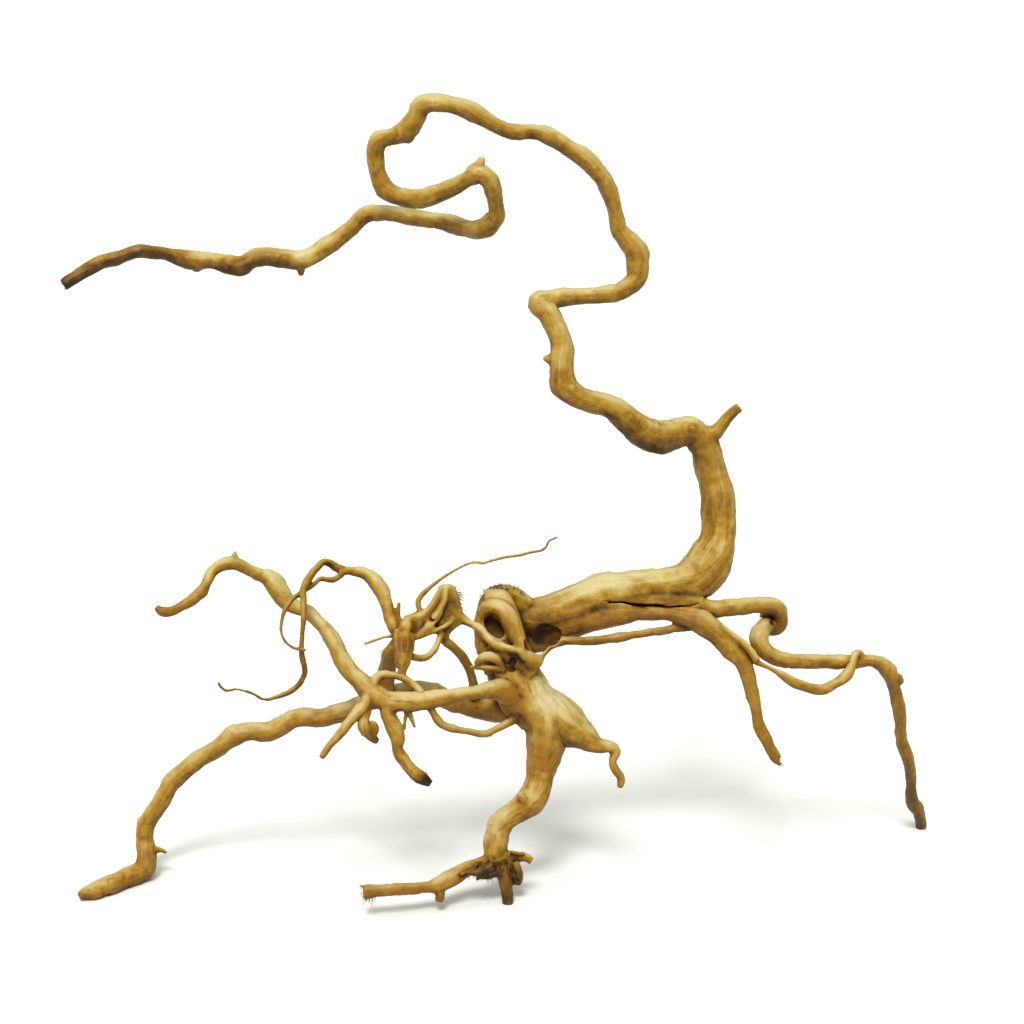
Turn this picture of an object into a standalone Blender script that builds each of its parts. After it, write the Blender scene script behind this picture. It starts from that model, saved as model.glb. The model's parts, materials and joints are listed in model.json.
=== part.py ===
"""Desert driftwood: one weathered root with its branches, standing on three of its feet.

Every limb is a route drawn by hand on a square sheet and given a depth behind that sheet, so that
the root keeps its drawn outline when it is seen from in front and a little above. The limbs are
grown together into one body, worn smooth where they meet, hollowed, split and cut flat at the feet.
"""

import math

import bpy
from mathutils import Vector
from mathutils.noise import noise_vector, seed_set

# Driving dimensions, in metres and radians
SQUARE = 0.0005
SHEET = 1024 * SQUARE
SIGHT_DISTANCE = 1.21
SIGHT_ANGLE = math.radians(15)
SHEET_CENTRE_HEIGHT = 0.1888
UPPER_LIMB_LEAN = 0.2
GRAIN_SIZE = 0.0008
WORN_AWAY = 0.8 * SQUARE
KNOBBLE_HEIGHT = 0.0007
KNOBBLE_WIDTH = 0.011
KNOBBLE_SEED = 5
ROUNDING_PASSES = 6
TRIANGLES = 9900
STEP_ALONG = 3.0
FLOOR_DEPTH = 0.02

# The routes are drawn on a sheet ruled in squares of half a millimetre, from its top left corner.
# Each point is (squares across, squares down, squares behind the sheet, radius in squares).
TRUNK_AND_UPPER_LIMB = [
    (512, 612, 12, 18), (535, 617, 11, 20), (560, 612, 10, 22.5), (600, 595, 10, 21), (640, 588, 12, 17.5),
    (660, 587, 14, 17.5), (680, 585, 16, 20), (700, 575, 16, 23), (714, 552, 16, 21.5),
    (718, 535, 16, 19), (718, 505, 16, 17.5), (717, 490, 14, 17.5), (713, 475, 14, 17),
    (709, 460, 12, 16), (703, 444, 8, 16), (690, 431, 4, 16), (675, 434, 0, 16.5),
    (658, 436, -10, 18), (643, 431, -16, 17), (627, 419, -20, 15), (613, 408, -24, 13),
    (597, 402, -28, 12), (580, 398, -32, 11.5), (565, 388, -36, 13), (562, 374, -36, 12),
    (561, 361, -36, 12), (562, 346, -32, 12), (557, 330, -28, 11.5), (549, 314, -24, 11.5),
    (539, 302, -20, 11.5), (558, 298, -16, 9.5), (575, 297, -13, 9.5), (590, 296, -10, 9.5),
    (605, 295, -5, 9.5), (620, 292, 0, 9), (636, 279, 4, 10.5), (638, 265, 6, 11), (637, 252, 6, 11),
    (627, 240, 2, 10), (619, 228, 0, 9), (616, 214, -3, 8), (611, 196, -6, 9), (602, 178, -10, 9.5),
    (592, 165, -13, 10.5), (580, 155, -16, 10), (565, 146, -18, 8.5), (550, 137, -20, 9),
    (535, 132, -22, 8), (520, 132, -24, 8), (505, 129, -27, 8), (490, 122, -30, 8.5),
    (475, 113, -33, 9), (462, 107, -36, 9), (450, 104, -38, 8.5), (435, 102, -40, 9.5),
    (421, 106, -38, 9.5), (416, 117, -36, 9.5), (407, 129, -30, 11), (393, 136, -24, 9),
    (380, 140, -20, 10), (376, 150, -16, 10), (376, 160, -14, 10), (378, 172, -12, 9),
    (384, 188, -12, 9.5), (397, 196, -14, 9.5), (410, 198, -16, 9.5), (425, 198, -22, 10),
    (435, 194, -27, 10), (450, 188, -32, 9.5), (465, 181, -42, 9.5), (478, 174, -50, 9.5),
    (488, 179, -50, 9.5), (493, 190, -44, 8.5), (496, 203, -38, 8.5), (496, 217, -30, 9.5),
    (485, 228, -18, 11), (470, 229, -4, 9.5), (455, 225, 8, 10), (440, 221, 16, 9),
    (420, 218, 24, 8.5), (400, 215, 30, 8.5), (380, 212, 36, 8.5), (365, 215, 40, 9),
    (352, 228, 39, 8.5), (345, 234, 38, 9), (330, 245, 36, 9.5), (315, 254, 32, 9),
    (300, 260, 29, 10), (285, 259, 28, 10), (268, 257, 26, 9.5), (252, 260, 25, 10),
    (240, 266, 24, 11), (225, 264, 20, 10), (210, 260, 16, 9), (197, 261, 13, 9.5),
    (180, 258, 10, 8), (160, 253, 5, 7), (140, 251, 0, 7.5), (120, 257, -5, 7.5), (100, 263, -10, 7.5),
    (84, 272, -15, 7), (63, 285, -21, 7.5),
]
UPPER_KNOBS = [
    [(556, 362, -35, 8), (549, 359, -34, 6), (543, 358, -34, 3)],
    [(700, 436, 6, 12), (716, 432, 6, 9), (727, 418, 4, 6.5), (739, 407, 2, 6)],
    [(407, 132, -30, 8), (411, 141, -30, 5), (413, 146, -30, 3)],
    [(472, 172, -48, 8), (480, 163, -50, 4.5), (483, 157, -50, 3)],
    [(300, 262, 29, 8), (301, 270, 29, 4), (301, 276, 29, 2.6)],
    [(240, 268, 24, 8), (242, 276, 24, 4.5)],
    [(197, 263, 13, 7), (197, 272, 13, 3.5)],
]
LOWER_STRAND_AND_SHORT_LEG = [
    (534, 628, 12, 16), (548, 627, 9, 15), (562, 624, 6, 16.5), (590, 618, 4, 14.5), (620, 614, 2, 11.5),
    (650, 613, 0, 9), (680, 615, 0, 9.5), (700, 621, 2, 12), (715, 634, 2, 11), (730, 648, 4, 10.5),
    (741, 659, 6, 9),
    (747, 671, 8, 8), (750, 685, 10, 7), (754, 700, 10, 6.5), (757, 715, 12, 6.5), (760, 728, 12, 6.5),
    (766, 739, 12, 6), (770, 748, 12, 5.5), (773, 757, 12, 5), (779, 763, 12, 3.5),
]
SHORT_LEG_STRANDS = [
    [(705, 612, -2, 4), (720, 625, -6, 4), (735, 636, -8, 4), (745, 642, -8, 4), (752, 652, -6, 4),
     (757, 661, -4, 4)],
    [(771, 746, 12, 4), (776, 752, 12, 3.2), (781, 757, 12, 1.8)],
    [(773, 754, 12, 4), (777, 760, 11, 3), (780, 766, 10, 1.8)],
]
RIGHT_LEG = [
    (680, 600, 8, 12), (700, 606, 8, 9.5), (715, 609, 10, 9), (730, 607, 12, 8.5), (745, 606, 14, 8.5),
    (760, 605, 17, 8), (773, 606, 22, 8), (781, 614, 27, 8), (780, 625, 32, 8), (772, 629, 33, 7.5),
    (764, 625, 28, 7.5), (757, 630, 20, 8), (757, 641, 14, 8.5), (764, 651, 12, 9), (776, 658, 13, 8.5),
    (790, 661, 16, 8), (810, 661, 22, 7.5), (830, 662, 30, 7), (850, 662, 38, 6.5), (870, 661, 48, 7),
    (883, 665, 56, 8), (891, 675, 64, 8), (894, 688, 72, 7), (897, 700, 80, 6.5), (900, 715, 90, 6.5),
    (900, 730, 100, 6.5), (902, 743, 110, 6.5), (907, 755, 120, 6), (910, 770, 132, 6),
    (911, 785, 145, 6.5), (912, 800, 160, 6.5), (918, 811, 174, 6.5), (921, 820, 184, 6.5),
    (921, 829, 190, 6),
]
RIGHT_LEG_STRANDS = [
    [(893, 678, 66, 6), (903, 678, 66, 4)],
    [(762, 612, 34, 6), (776, 619, 38, 6)],
    [(750, 652, 5, 4), (757, 662, 1, 3.5), (770, 668, -1, 3.2), (785, 677, 2, 4.5), (800, 685, 8, 5.5),
     (820, 690, 16, 5.5), (835, 684, 22, 5), (847, 675, 26, 5), (853, 663, 29, 4), (856, 653, 36, 4),
     (861, 654, 46, 4)],
]
ROOT_UNDER_TRUNK = [
    (526, 660, -28, 6), (535, 664, -24, 6), (541, 656, -19, 5), (547, 647, -14, 5), (556, 642, -12, 5),
    (570, 641, -10, 4.5), (600, 640, -8, 4.5), (640, 634, -4, 4.5), (670, 629, 2, 4.5), (690, 626, 8, 5),
    (704, 624, 8, 5),
]
BODY = [(499, 602, 4, 17), (502, 618, 2, 20), (505, 640, 0, 22), (512, 670, 0, 26), (526, 697, 0, 28),
        (544, 720, 0, 26), (545, 742, 0, 21), (543, 760, 0, 17), (541, 775, 0, 14.5), (537, 790, 0, 14.5),
        (529, 802, 0, 15), (515, 812, 0, 12.5), (501, 823, 0, 12), (496, 840, 0, 13), (495, 852, 0, 12),
        (498, 862, 0, 11), (503, 872, 0, 8), (506, 885, 0, 6.5), (508, 896, 0, 6), (508, 906, 0, 6)]
HIP = [(522, 684, 0, 18), (543, 706, 0, 21), (565, 723, 0, 22.5), (583, 736, 0, 16), (597, 745, 0, 9),
       (609, 746, 0, 6.5), (616, 751, 0, 6), (613, 760, -2, 4.2), (615, 769, -2, 4.2),
       (621, 778, -2, 4.5), (620, 788, -2, 3)]
CROWN = [
    [(489, 603, -6, 11), (499, 599, -2, 15), (512, 603, 4, 16), (528, 613, 8, 13)],
    [(518, 640, 22, 16), (540, 640, 24, 15), (566, 628, 20, 14)],
    [(486, 603, -4, 9), (481, 617, -8, 6), (478, 630, -10, 5.5), (479, 645, -12, 5.5), (485, 658, -18, 7)],
    [(484, 656, -24, 8), (492, 659, -25, 8)],
    [(474, 667, -18, 3.5), (487, 667, -24, 4)],
    [(486, 606, -20, 7), (498, 606, -32, 6.5), (508, 614, -36, 6.5), (514, 628, -36, 6.5),
     (519, 642, -34, 6.5), (527, 655, -28, 6.5)],
    [(496, 640, -18, 9), (505, 655, -20, 10), (520, 668, -18, 10)],
]
STRAND_OVER_CROWN = [
    (448, 608, -22, 5), (460, 617, -20, 5), (468, 623, -23, 4.5), (475, 626, -28, 5), (482, 631, -33, 5),
    (488, 638, -38, 5), (496, 645, -42, 4.2), (507, 648, -44, 4), (518, 651, -42, 4.5),
    (527, 657, -36, 5), (536, 663, -26, 6),
]
FOOT_BRANCH = [
    (494, 860, -2, 9), (480, 865, -5, 8), (466, 869, -10, 8), (452, 877, -18, 8), (437, 885, -26, 7.5),
    (420, 888, -32, 6.5), (400, 889, -38, 6.5), (385, 890, -42, 6.5), (363, 892, -44, 7),
]
FOOT_KNOBS = [
    [(437, 885, -26, 6), (440, 893, -26, 5), (439, 902, -26, 4)],
    [(500, 855, 0, 7), (515, 857, 0, 5), (525, 857, 0, 4.5), (532, 861, 0, 4)],
    [(505, 858, 0, 8), (512, 865, 0, 5.5), (518, 875, 0, 5.5), (517, 885, 0, 4)],
]
FRONT_ARM = [
    (512, 690, -10, 12), (500, 690, -24, 10), (490, 690, -32, 9.5), (475, 692, -40, 8),
    (460, 694, -44, 7.5), (445, 697, -48, 7.5), (430, 700, -52, 8), (415, 702, -54, 9),
    (400, 702, -56, 10), (385, 700, -54, 11), (374, 694, -52, 12), (365, 686, -50, 10.5),
    (358, 679, -49, 9), (348, 669, -48, 9), (340, 657, -44, 8.5), (334, 643, -40, 8.5),
    (324, 628, -36, 9), (310, 614, -30, 8), (296, 607, -24, 8), (283, 599, -20, 9), (275, 589, -20, 8),
    (267, 579, -20, 6.5), (255, 573, -22, 6), (245, 568, -25, 6.5), (235, 563, -28, 6.5),
    (222, 565, -32, 6), (212, 572, -36, 6), (207, 583, -40, 5.5), (201, 593, -44, 6),
    (192, 600, -48, 5.2), (182, 606, -52, 5.5), (172, 611, -56, 5), (162, 612, -60, 5),
    (156, 607, -61, 3.2),
]
FRONT_ARM_KNOBS = [
    [(393, 703, -54, 10), (396, 709, -54, 11)],
    [(235, 562, -28, 5), (235, 557, -28, 3.5), (235, 551, -28, 1.8)],
    [(275, 586, -20, 6), (282, 579, -20, 5)],
]
BACK_LIMB_AND_LEFT_LEG = [
    (518, 712, 0, 14), (500, 711, 10, 13), (480, 708, 20, 12), (465, 705, 26, 11), (450, 702, 30, 10),
    (430, 692, 36, 10), (405, 692, 34, 9), (380, 697, 28, 10), (365, 703, 22, 11), (350, 710, 16, 11),
    (335, 714, 18, 10.5), (320, 717, 20, 9.5), (305, 716, 22, 9.5), (292, 719, 24, 9.5),
    (280, 727, 26, 9.5), (268, 732, 28, 9.5), (253, 732, 31, 9), (241, 734, 34, 10),
    (231, 738, 36, 11), (221, 746, 38, 10), (208, 754, 41, 9.5), (196, 761, 44, 10),
    (182, 772, 47, 9.5), (170, 785, 50, 9), (161, 800, 52, 9), (151, 815, 54, 9), (145, 828, 56, 10),
    (145, 842, 56, 9), (147, 853, 54, 9), (146, 866, 52, 11), (140, 872, 48, 10), (125, 879, 36, 10),
    (109, 885, 22, 10), (96, 890, 12, 10), (86, 893, 6, 7.5), (79, 896, 2, 4),
]
LEFT_LEG_TWIG = [(147, 850, 54, 7), (156, 850, 54, 4), (161, 850, 54, 2.6), (167, 853, 54, 1.8)]
LOWER_LOOP = [
    (372, 690, -56, 6), (378, 677, -52, 4.8), (392, 675, -50, 4.5), (405, 679, -50, 4.2),
    (415, 687, -54, 4.5), (425, 698, -62, 4.5), (432, 711, -58, 4), (441, 724, -48, 4.5),
    (455, 729, -40, 4), (470, 732, -32, 3.6), (485, 734, -26, 4), (500, 727, -20, 3.8),
    (514, 720, -14, 5),
]
HEAD_KNOT = [
    [(402, 633, -28, 7), (407, 625, -30, 8.5), (411, 622, -30, 6)],
    [(405, 620, -30, 5), (415, 617, -28, 5), (426, 613, -24, 5)],
    [(399, 624, -28, 4), (398, 615, -28, 2.8), (399, 602, -28, 1.8)],
    [(402, 636, -30, 4), (396, 636, -32, 2.8), (385, 637, -34, 1.8), (375, 640, -36, 1.8),
     (364, 644, -38, 1.8)],
    [(404, 634, -34, 7), (404, 642, -40, 6.5), (403, 655, -46, 6.5), (402, 667, -48, 4.5),
     (402, 678, -48, 2.6)],
    [(407, 627, -28, 8), (400, 640, -26, 8), (390, 655, -16, 8), (387, 672, 4, 8), (385, 690, 20, 9)],
]
ARCH = [
    (407, 630, -28, 6), (398, 631, -28, 6.5), (391, 620, -27, 7.5), (387, 605, -24, 7),
    (381, 590, -20, 7.5), (373, 580, -18, 7.5), (363, 573, -16, 6.5), (350, 571, -20, 5.2),
    (340, 571, -24, 5),
]
UPPER_ROOTLET = [
    (344, 571, -22, 5), (336, 567, -26, 4), (330, 563, -28, 4), (323, 562, -33, 4), (315, 570, -42, 3.6),
    (307, 581, -51, 4), (303, 592, -57, 3.6), (304, 612, -67, 3.4), (302, 635, -71, 3),
    (302, 655, -72, 3), (305, 672, -69, 3), (300, 683, -70, 3), (291, 691, -72, 2.7), (282, 695, -74, 2.5),
    (270, 699, -77, 1.8), (262, 699, -80, 1.8), (254, 694, -82, 1.8), (245, 691, -84, 1.8),
    (235, 689, -86, 1.8), (228, 691, -88, 1.8), (222, 688, -90, 1.8), (218, 682, -92, 1.8),
]
LOWER_ROOTLET = [
    (343, 572, -23, 4), (339, 577, -28, 3), (331, 580, -34, 2.8), (320, 579, -41, 2.6),
    (312, 586, -48, 2.6), (302, 592, -55, 2.8), (292, 600, -60, 2.6), (284, 612, -64, 2.5),
    (281, 629, -68, 1.8), (285, 641, -71, 1.8), (294, 648, -74, 1.8), (306, 650, -76, 1.8),
]
PLATE_RIDGES = [
    [(442, 586, -26, 3), (435, 600, -28, 3.4), (425, 613, -30, 3.6), (411, 619, -30, 4)],
    [(447, 586, -28, 3), (443, 604, -31, 3.6), (433, 621, -33, 4.5), (426, 630, -34, 4.5),
     (418, 637, -34, 4.5)],
    [(454, 588, -24, 2.6), (457, 600, -24, 3), (459, 612, -22, 3.4)],
    [(414, 638, -34, 3), (425, 635, -35, 2.6), (437, 630, -34, 2.6), (447, 625, -30, 2.6),
     (454, 618, -24, 3)],
    [(404, 650, -42, 4), (413, 657, -38, 4), (424, 658, -38, 4), (433, 652, -38, 4), (438, 643, -34, 4),
     (442, 633, -28, 4)],
    [(442, 628, -24, 7), (445, 640, -20, 6), (452, 646, -16, 5.5), (462, 657, -8, 5), (469, 669, 0, 4.8),
     (473, 683, 6, 4.8), (474, 698, 14, 5.5)],
]
WHIP = [
    (415, 637, -32, 3), (419, 625, -30, 3), (420, 612, -28, 3), (418, 602, -27, 3), (421, 596, -26, 2.8),
    (428, 589, -26, 2.5), (438, 581, -26, 1.8), (450, 573, -26, 1.8), (465, 565, -25, 1.8),
    (475, 562, -24, 1.8), (484, 563, -23, 1.8), (493, 560, -22, 1.8), (506, 557, -20, 1.8),
    (520, 555, -18, 1.8), (531, 552, -17, 1.8), (540, 551, -16, 1.8), (546, 547, -16, 1.8),
    (549, 541, -16, 1.8), (558, 537, -15, 1.8),
]
HANGING_ROOTS = [
    [(371, 690, -54, 8), (366, 701, -60, 6), (355, 715, -66, 5.5), (340, 733, -72, 4.5),
     (330, 745, -78, 4), (321, 758, -84, 3)],
    [(369, 698, -56, 7), (366, 712, -58, 5.2), (363, 726, -66, 5.2), (369, 735, -61, 5),
     (377, 741, -56, 4.2)],
    [(366, 730, -64, 4.5), (371, 726, -62, 3.5), (374, 721, -60, 3)],
    [(390, 700, -54, 9), (388, 712, -56, 8.5), (394, 727, -56, 8), (398, 738, -56, 6.5),
     (397, 748, -56, 5.5), (402, 758, -56, 6.5), (412, 770, -56, 6), (422, 778, -56, 6.5),
     (431, 784, -56, 4)],
    [(402, 702, -54, 4), (405, 713, -54, 2.6), (405, 722, -54, 1.8), (404, 730, -54, 1.8)],
    [(407, 704, -54, 4), (410, 714, -54, 2.6), (415, 728, -54, 1.8)],
]
LIMBS = [
    TRUNK_AND_UPPER_LIMB, *UPPER_KNOBS, LOWER_STRAND_AND_SHORT_LEG, *SHORT_LEG_STRANDS, RIGHT_LEG,
    *RIGHT_LEG_STRANDS, ROOT_UNDER_TRUNK, BODY, HIP, *CROWN, STRAND_OVER_CROWN, FOOT_BRANCH,
    *FOOT_KNOBS, FRONT_ARM, *FRONT_ARM_KNOBS, BACK_LIMB_AND_LEFT_LEG, LEFT_LEG_TWIG, LOWER_LOOP,
    *HEAD_KNOT, ARCH, UPPER_ROOTLET, LOWER_ROOTLET, *PLATE_RIDGES, WHIP, *HANGING_ROOTS,
]
# The torn plate beside the crown is a thin sheet of wood: its outline, and its thickness in squares.
PLATE_OUTLINE = [
    (442, 584, -25), (452, 584, -25), (457, 592, -24), (458, 602, -23), (462, 612, -21), (466, 621, -20),
    (456, 628, -22), (449, 636, -22), (439, 633, -26), (428, 635, -29), (415, 638, -31),
    (406, 630, -30), (409, 618, -30), (424, 613, -29), (434, 600, -27),
]
PLATE_THICKNESS = 7

# What is missing from the grown wood: hollows with a rotted floor, and the long split in the trunk.
CROWN_HOLLOW = [(530, 640, -36, 8), (535, 640, -18, 11), (542, 640, -2, 11), (546, 640, 8, 8)]
CROWN_HOLLOW_TOP = [(522, 633, -38, 6), (527, 633, -14, 8), (532, 633, 2, 7)]
CROWN_HOLLOW_SIDE = [(548, 638, -36, 7), (552, 638, -14, 9), (555, 638, 2, 7)]
HOLLOW_SLIT = [(552, 637, -26, 5), (566, 634, -21, 4), (584, 633, -18, 1.8)]
OVAL_HOLLOW = [(496, 626, -44, 7.5), (496, 627, -24, 7.5), (497, 628, -6, 6)]
OVAL_HOLLOW_TOP = [(491, 621, -44, 5.5), (492, 622, -14, 5)]
OVAL_HOLLOW_FOOT = [(500, 632, -44, 6), (500, 632, -14, 5)]
FRONT_HOLLOWS = [
    [(395, 709, -70, 4.5), (395, 709, -57, 4)],
    [(510, 658, -40, 4.5), (511, 659, -26, 4)],
    [(404, 645, -54, 2.6), (404, 651, -54, 1.8)],
    [(424, 621, -42, 3), (424, 621, -30, 2.6)],
    [(771, 618, 6, 3.4), (772, 619, 24, 3)],
    [(481, 664, -40, 2.6), (482, 663, -26, 1.8)],
]
HOLLOWS = [
    CROWN_HOLLOW, CROWN_HOLLOW_TOP, CROWN_HOLLOW_SIDE, HOLLOW_SLIT, OVAL_HOLLOW, OVAL_HOLLOW_TOP,
    OVAL_HOLLOW_FOOT, *FRONT_HOLLOWS,
]
TRUNK_SPLIT = [(604, 602), (618, 603), (634, 604), (652, 605), (670, 606), (688, 607), (698, 604)]
SPLIT_WIDTH = 2.6
SPLIT_FRONT = -30
SPLIT_BACK = 8


def on_sheet(across, down, back):
    """A point of the sheet pushed back along its sight line, and how much larger it is drawn there."""
    right = across * SQUARE - SHEET / 2
    up = SHEET / 2 - down * SQUARE
    depth = back * SQUARE - UPPER_LIMB_LEAN * max(up, 0)
    growth = 1 + depth / SIGHT_DISTANCE
    place = Vector((
        growth * right,
        growth * up * math.sin(SIGHT_ANGLE) + depth * math.cos(SIGHT_ANGLE),
        SHEET_CENTRE_HEIGHT + growth * up * math.cos(SIGHT_ANGLE) - depth * math.sin(SIGHT_ANGLE),
    ))
    return place, growth


def eased(route):
    """The route with a smooth curve (Catmull and Rom's) through its points, one every few squares."""
    points = [Vector(point) for point in route]
    points = [2 * points[0] - points[1], *points, 2 * points[-1] - points[-2]]
    fine = []
    for before, start, end, after in zip(points, points[1:], points[2:], points[3:]):
        steps = max(1, round((end - start).length / STEP_ALONG))
        for step in range(steps):
            t = step / steps
            fine.append(0.5 * (
                2 * start + (end - before) * t + (2 * before - 5 * start + 4 * end - after) * t**2
                + (3 * start - before - 3 * end + after) * t**3
            ))
    return [*fine, points[-2]]


def tube(route):
    """One limb: a round bar along its route, with the radius that each point gives it."""
    data = bpy.data.curves.new("limb", "CURVE")
    data.dimensions = "3D"
    data.bevel_depth = 1
    data.bevel_resolution = 3
    data.use_fill_caps = True
    spline = data.splines.new("POLY")
    fine = eased(route)
    spline.points.add(len(fine) - 1)
    for point, (across, down, back, radius) in zip(spline.points, fine):
        place, growth = on_sheet(across, down, back)
        point.co = (*place, 1)
        point.radius = (radius * SQUARE + WORN_AWAY) * growth
    bar = bpy.data.objects.new("limb", data)
    bpy.context.collection.objects.link(bar)
    return bar


def slab(name, front, back):
    """A closed plate between two outlines that have the same number of points."""
    count = len(front)
    turns = [(i, (i + 1) % count) for i in range(count)]
    sides = [(i, i + count, j + count, j) for i, j in turns]
    caps = [tuple(range(count)), tuple(range(2 * count - 1, count - 1, -1))]
    mesh = bpy.data.meshes.new(name)
    mesh.from_pydata([*front, *back], [], [*sides, *caps])
    plate = bpy.data.objects.new(name, mesh)
    bpy.context.collection.objects.link(plate)
    return plate


def torn_plate():
    front = [on_sheet(x, y, back - PLATE_THICKNESS / 2)[0] for x, y, back in PLATE_OUTLINE]
    rear = [on_sheet(x, y, back + PLATE_THICKNESS / 2)[0] for x, y, back in PLATE_OUTLINE]
    return slab("plate", front, rear)


def split_cutter():
    """The long split: a thin wedge that follows the grain and closes towards its two ends."""
    count = len(TRUNK_SPLIT)
    half = [SPLIT_WIDTH / 2 * math.sin(math.pi * (i + 0.5) / count) for i in range(count)]
    upper = [(x, y - h) for (x, y), h in zip(TRUNK_SPLIT, half)]
    lower = [(x, y + h) for (x, y), h in zip(TRUNK_SPLIT, half)]
    outline = [*lower, *reversed(upper)]
    front = [on_sheet(x, y, SPLIT_FRONT)[0] for x, y in outline]
    rear = [on_sheet(x, y, SPLIT_BACK)[0] for x, y in outline]
    return slab("split", front, rear)


def joined(name, pieces):
    """One object from the evaluated meshes of the pieces, which are then removed."""
    bpy.context.view_layer.update()
    graph = bpy.context.evaluated_depsgraph_get()
    points = []
    faces = []
    for piece in pieces:
        mesh = piece.evaluated_get(graph).to_mesh()
        faces += [[len(points) + i for i in face.vertices] for face in mesh.polygons]
        points += [piece.matrix_world @ vertex.co for vertex in mesh.vertices]
    for piece in pieces:
        bpy.data.objects.remove(piece)
    mesh = bpy.data.meshes.new(name)
    mesh.from_pydata(points, [], faces)
    made = bpy.data.objects.new(name, mesh)
    bpy.context.collection.objects.link(made)
    return made


def settle(piece):
    """Turns the piece's modifiers into its mesh."""
    bpy.context.view_layer.update()
    graph = bpy.context.evaluated_depsgraph_get()
    mesh = bpy.data.meshes.new_from_object(piece.evaluated_get(graph))
    piece.modifiers.clear()
    piece.data = mesh


def grow_together(piece, size, passes):
    """Fuses overlapping bars into one skin and rounds the creases where they meet."""
    fuse = piece.modifiers.new("fuse", "REMESH")
    fuse.mode = "VOXEL"
    fuse.voxel_size = size
    rounding = piece.modifiers.new("rounding", "SMOOTH")
    rounding.factor = 0.5
    rounding.iterations = passes
    settle(piece)


def weather(piece):
    """Low swellings and dips all over, so that no limb stays a turned bar."""
    seed_set(KNOBBLE_SEED)
    for vertex in piece.data.vertices:
        vertex.co += noise_vector(vertex.co / KNOBBLE_WIDTH) * KNOBBLE_HEIGHT


def simplify(piece):
    thin = piece.modifiers.new("simplify", "DECIMATE")
    piece.data.calc_loop_triangles()
    thin.ratio = TRIANGLES / len(piece.data.loop_triangles)
    settle(piece)


def carve(piece, cutter):
    cut = piece.modifiers.new("cut", "BOOLEAN")
    cut.operation = "DIFFERENCE"
    cut.object = cutter
    settle(piece)
    bpy.data.objects.remove(cutter)


def floor_block():
    """The ground as a solid: what reaches below the feet is cut off flat."""
    bpy.ops.mesh.primitive_cube_add(size=1, location=(0, 0, -FLOOR_DEPTH / 2))
    block = bpy.context.object
    block.dimensions = (2 * SHEET, 2 * SHEET, FLOOR_DEPTH)
    return block


def stand_on_origin(piece):
    """Moves the wood so that the middle of its box, on the ground, is the origin."""
    for axis in (0, 1):
        ends = [vertex.co[axis] for vertex in piece.data.vertices]
        middle = (min(ends) + max(ends)) / 2
        for vertex in piece.data.vertices:
            vertex.co[axis] -= middle
        print("sheet centre lies at", "xy"[axis], round(-middle, 5))


def paint(piece):
    wood = bpy.data.materials.new("weathered driftwood")
    wood.use_nodes = True
    shader = wood.node_tree.nodes["Principled BSDF"]
    shader.inputs["Base Color"].default_value = (0.46, 0.30, 0.10, 1)
    shader.inputs["Roughness"].default_value = 0.62
    shader.inputs["Metallic"].default_value = 0
    piece.data.materials.clear()
    piece.data.materials.append(wood)
    piece.data.shade_smooth()


def main():
    for left in list(bpy.data.objects):
        bpy.data.objects.remove(left)
    wood = joined("driftwood", [*map(tube, LIMBS), torn_plate()])
    grow_together(wood, GRAIN_SIZE, ROUNDING_PASSES)
    weather(wood)
    simplify(wood)
    hollows = joined("hollows", list(map(tube, HOLLOWS)))
    grow_together(hollows, 2 * GRAIN_SIZE, 1)
    carve(wood, hollows)
    carve(wood, split_cutter())
    carve(wood, floor_block())
    stand_on_origin(wood)
    paint(wood)


main()
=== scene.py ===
# %% [markdown]
# # Desert driftwood
# This is one piece of weathered root. It grew as a single body, and it stands on three of its feet
# with a long upper limb looping above. A root like this can be sculpted freehand, or it can be
# drawn limb by limb and grown together. The second way is chosen, because each limb then keeps the
# place that the solid model gives it, and the grain can later be made to run along every limb.

# %% Load the frame
import json
import math
from itertools import product

import bpy
import numpy as np
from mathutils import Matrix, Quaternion, Vector

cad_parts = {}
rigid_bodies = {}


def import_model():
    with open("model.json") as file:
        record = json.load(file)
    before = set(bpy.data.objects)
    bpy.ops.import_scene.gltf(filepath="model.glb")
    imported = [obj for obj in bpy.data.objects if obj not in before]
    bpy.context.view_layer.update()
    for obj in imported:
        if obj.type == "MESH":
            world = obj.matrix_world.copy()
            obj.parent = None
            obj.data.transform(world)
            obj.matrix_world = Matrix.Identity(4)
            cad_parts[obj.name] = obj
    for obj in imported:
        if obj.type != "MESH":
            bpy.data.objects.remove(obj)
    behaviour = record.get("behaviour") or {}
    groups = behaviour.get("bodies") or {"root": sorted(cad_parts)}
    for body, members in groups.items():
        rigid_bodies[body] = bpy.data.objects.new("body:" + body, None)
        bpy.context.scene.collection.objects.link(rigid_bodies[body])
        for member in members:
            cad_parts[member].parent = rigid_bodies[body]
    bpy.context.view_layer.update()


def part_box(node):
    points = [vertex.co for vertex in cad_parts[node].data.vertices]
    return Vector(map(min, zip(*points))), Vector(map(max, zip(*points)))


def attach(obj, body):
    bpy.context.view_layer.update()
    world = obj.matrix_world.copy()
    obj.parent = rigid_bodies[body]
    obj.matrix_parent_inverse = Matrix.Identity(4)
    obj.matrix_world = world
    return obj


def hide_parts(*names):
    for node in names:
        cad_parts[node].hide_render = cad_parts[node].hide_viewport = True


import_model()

bpy.ops.object.select_all(action="DESELECT")
cad_low, cad_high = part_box("driftwood")
print("solid from", [round(v, 4) for v in cad_low], "to", [round(v, 4) for v in cad_high])

# %% [markdown]
# ## The sheet and the sight
# The limbs are drawn on an upright sheet ruled in half-millimetre squares, counted from its top left
# corner. A point drawn there is pushed back along its own line of sight, so it keeps its place in the
# front view whatever its depth. The eye is 1.21 m away and looks down by 15 degrees. The same
# numbers place the camera, which is why the front view and the drawing agree.

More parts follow.
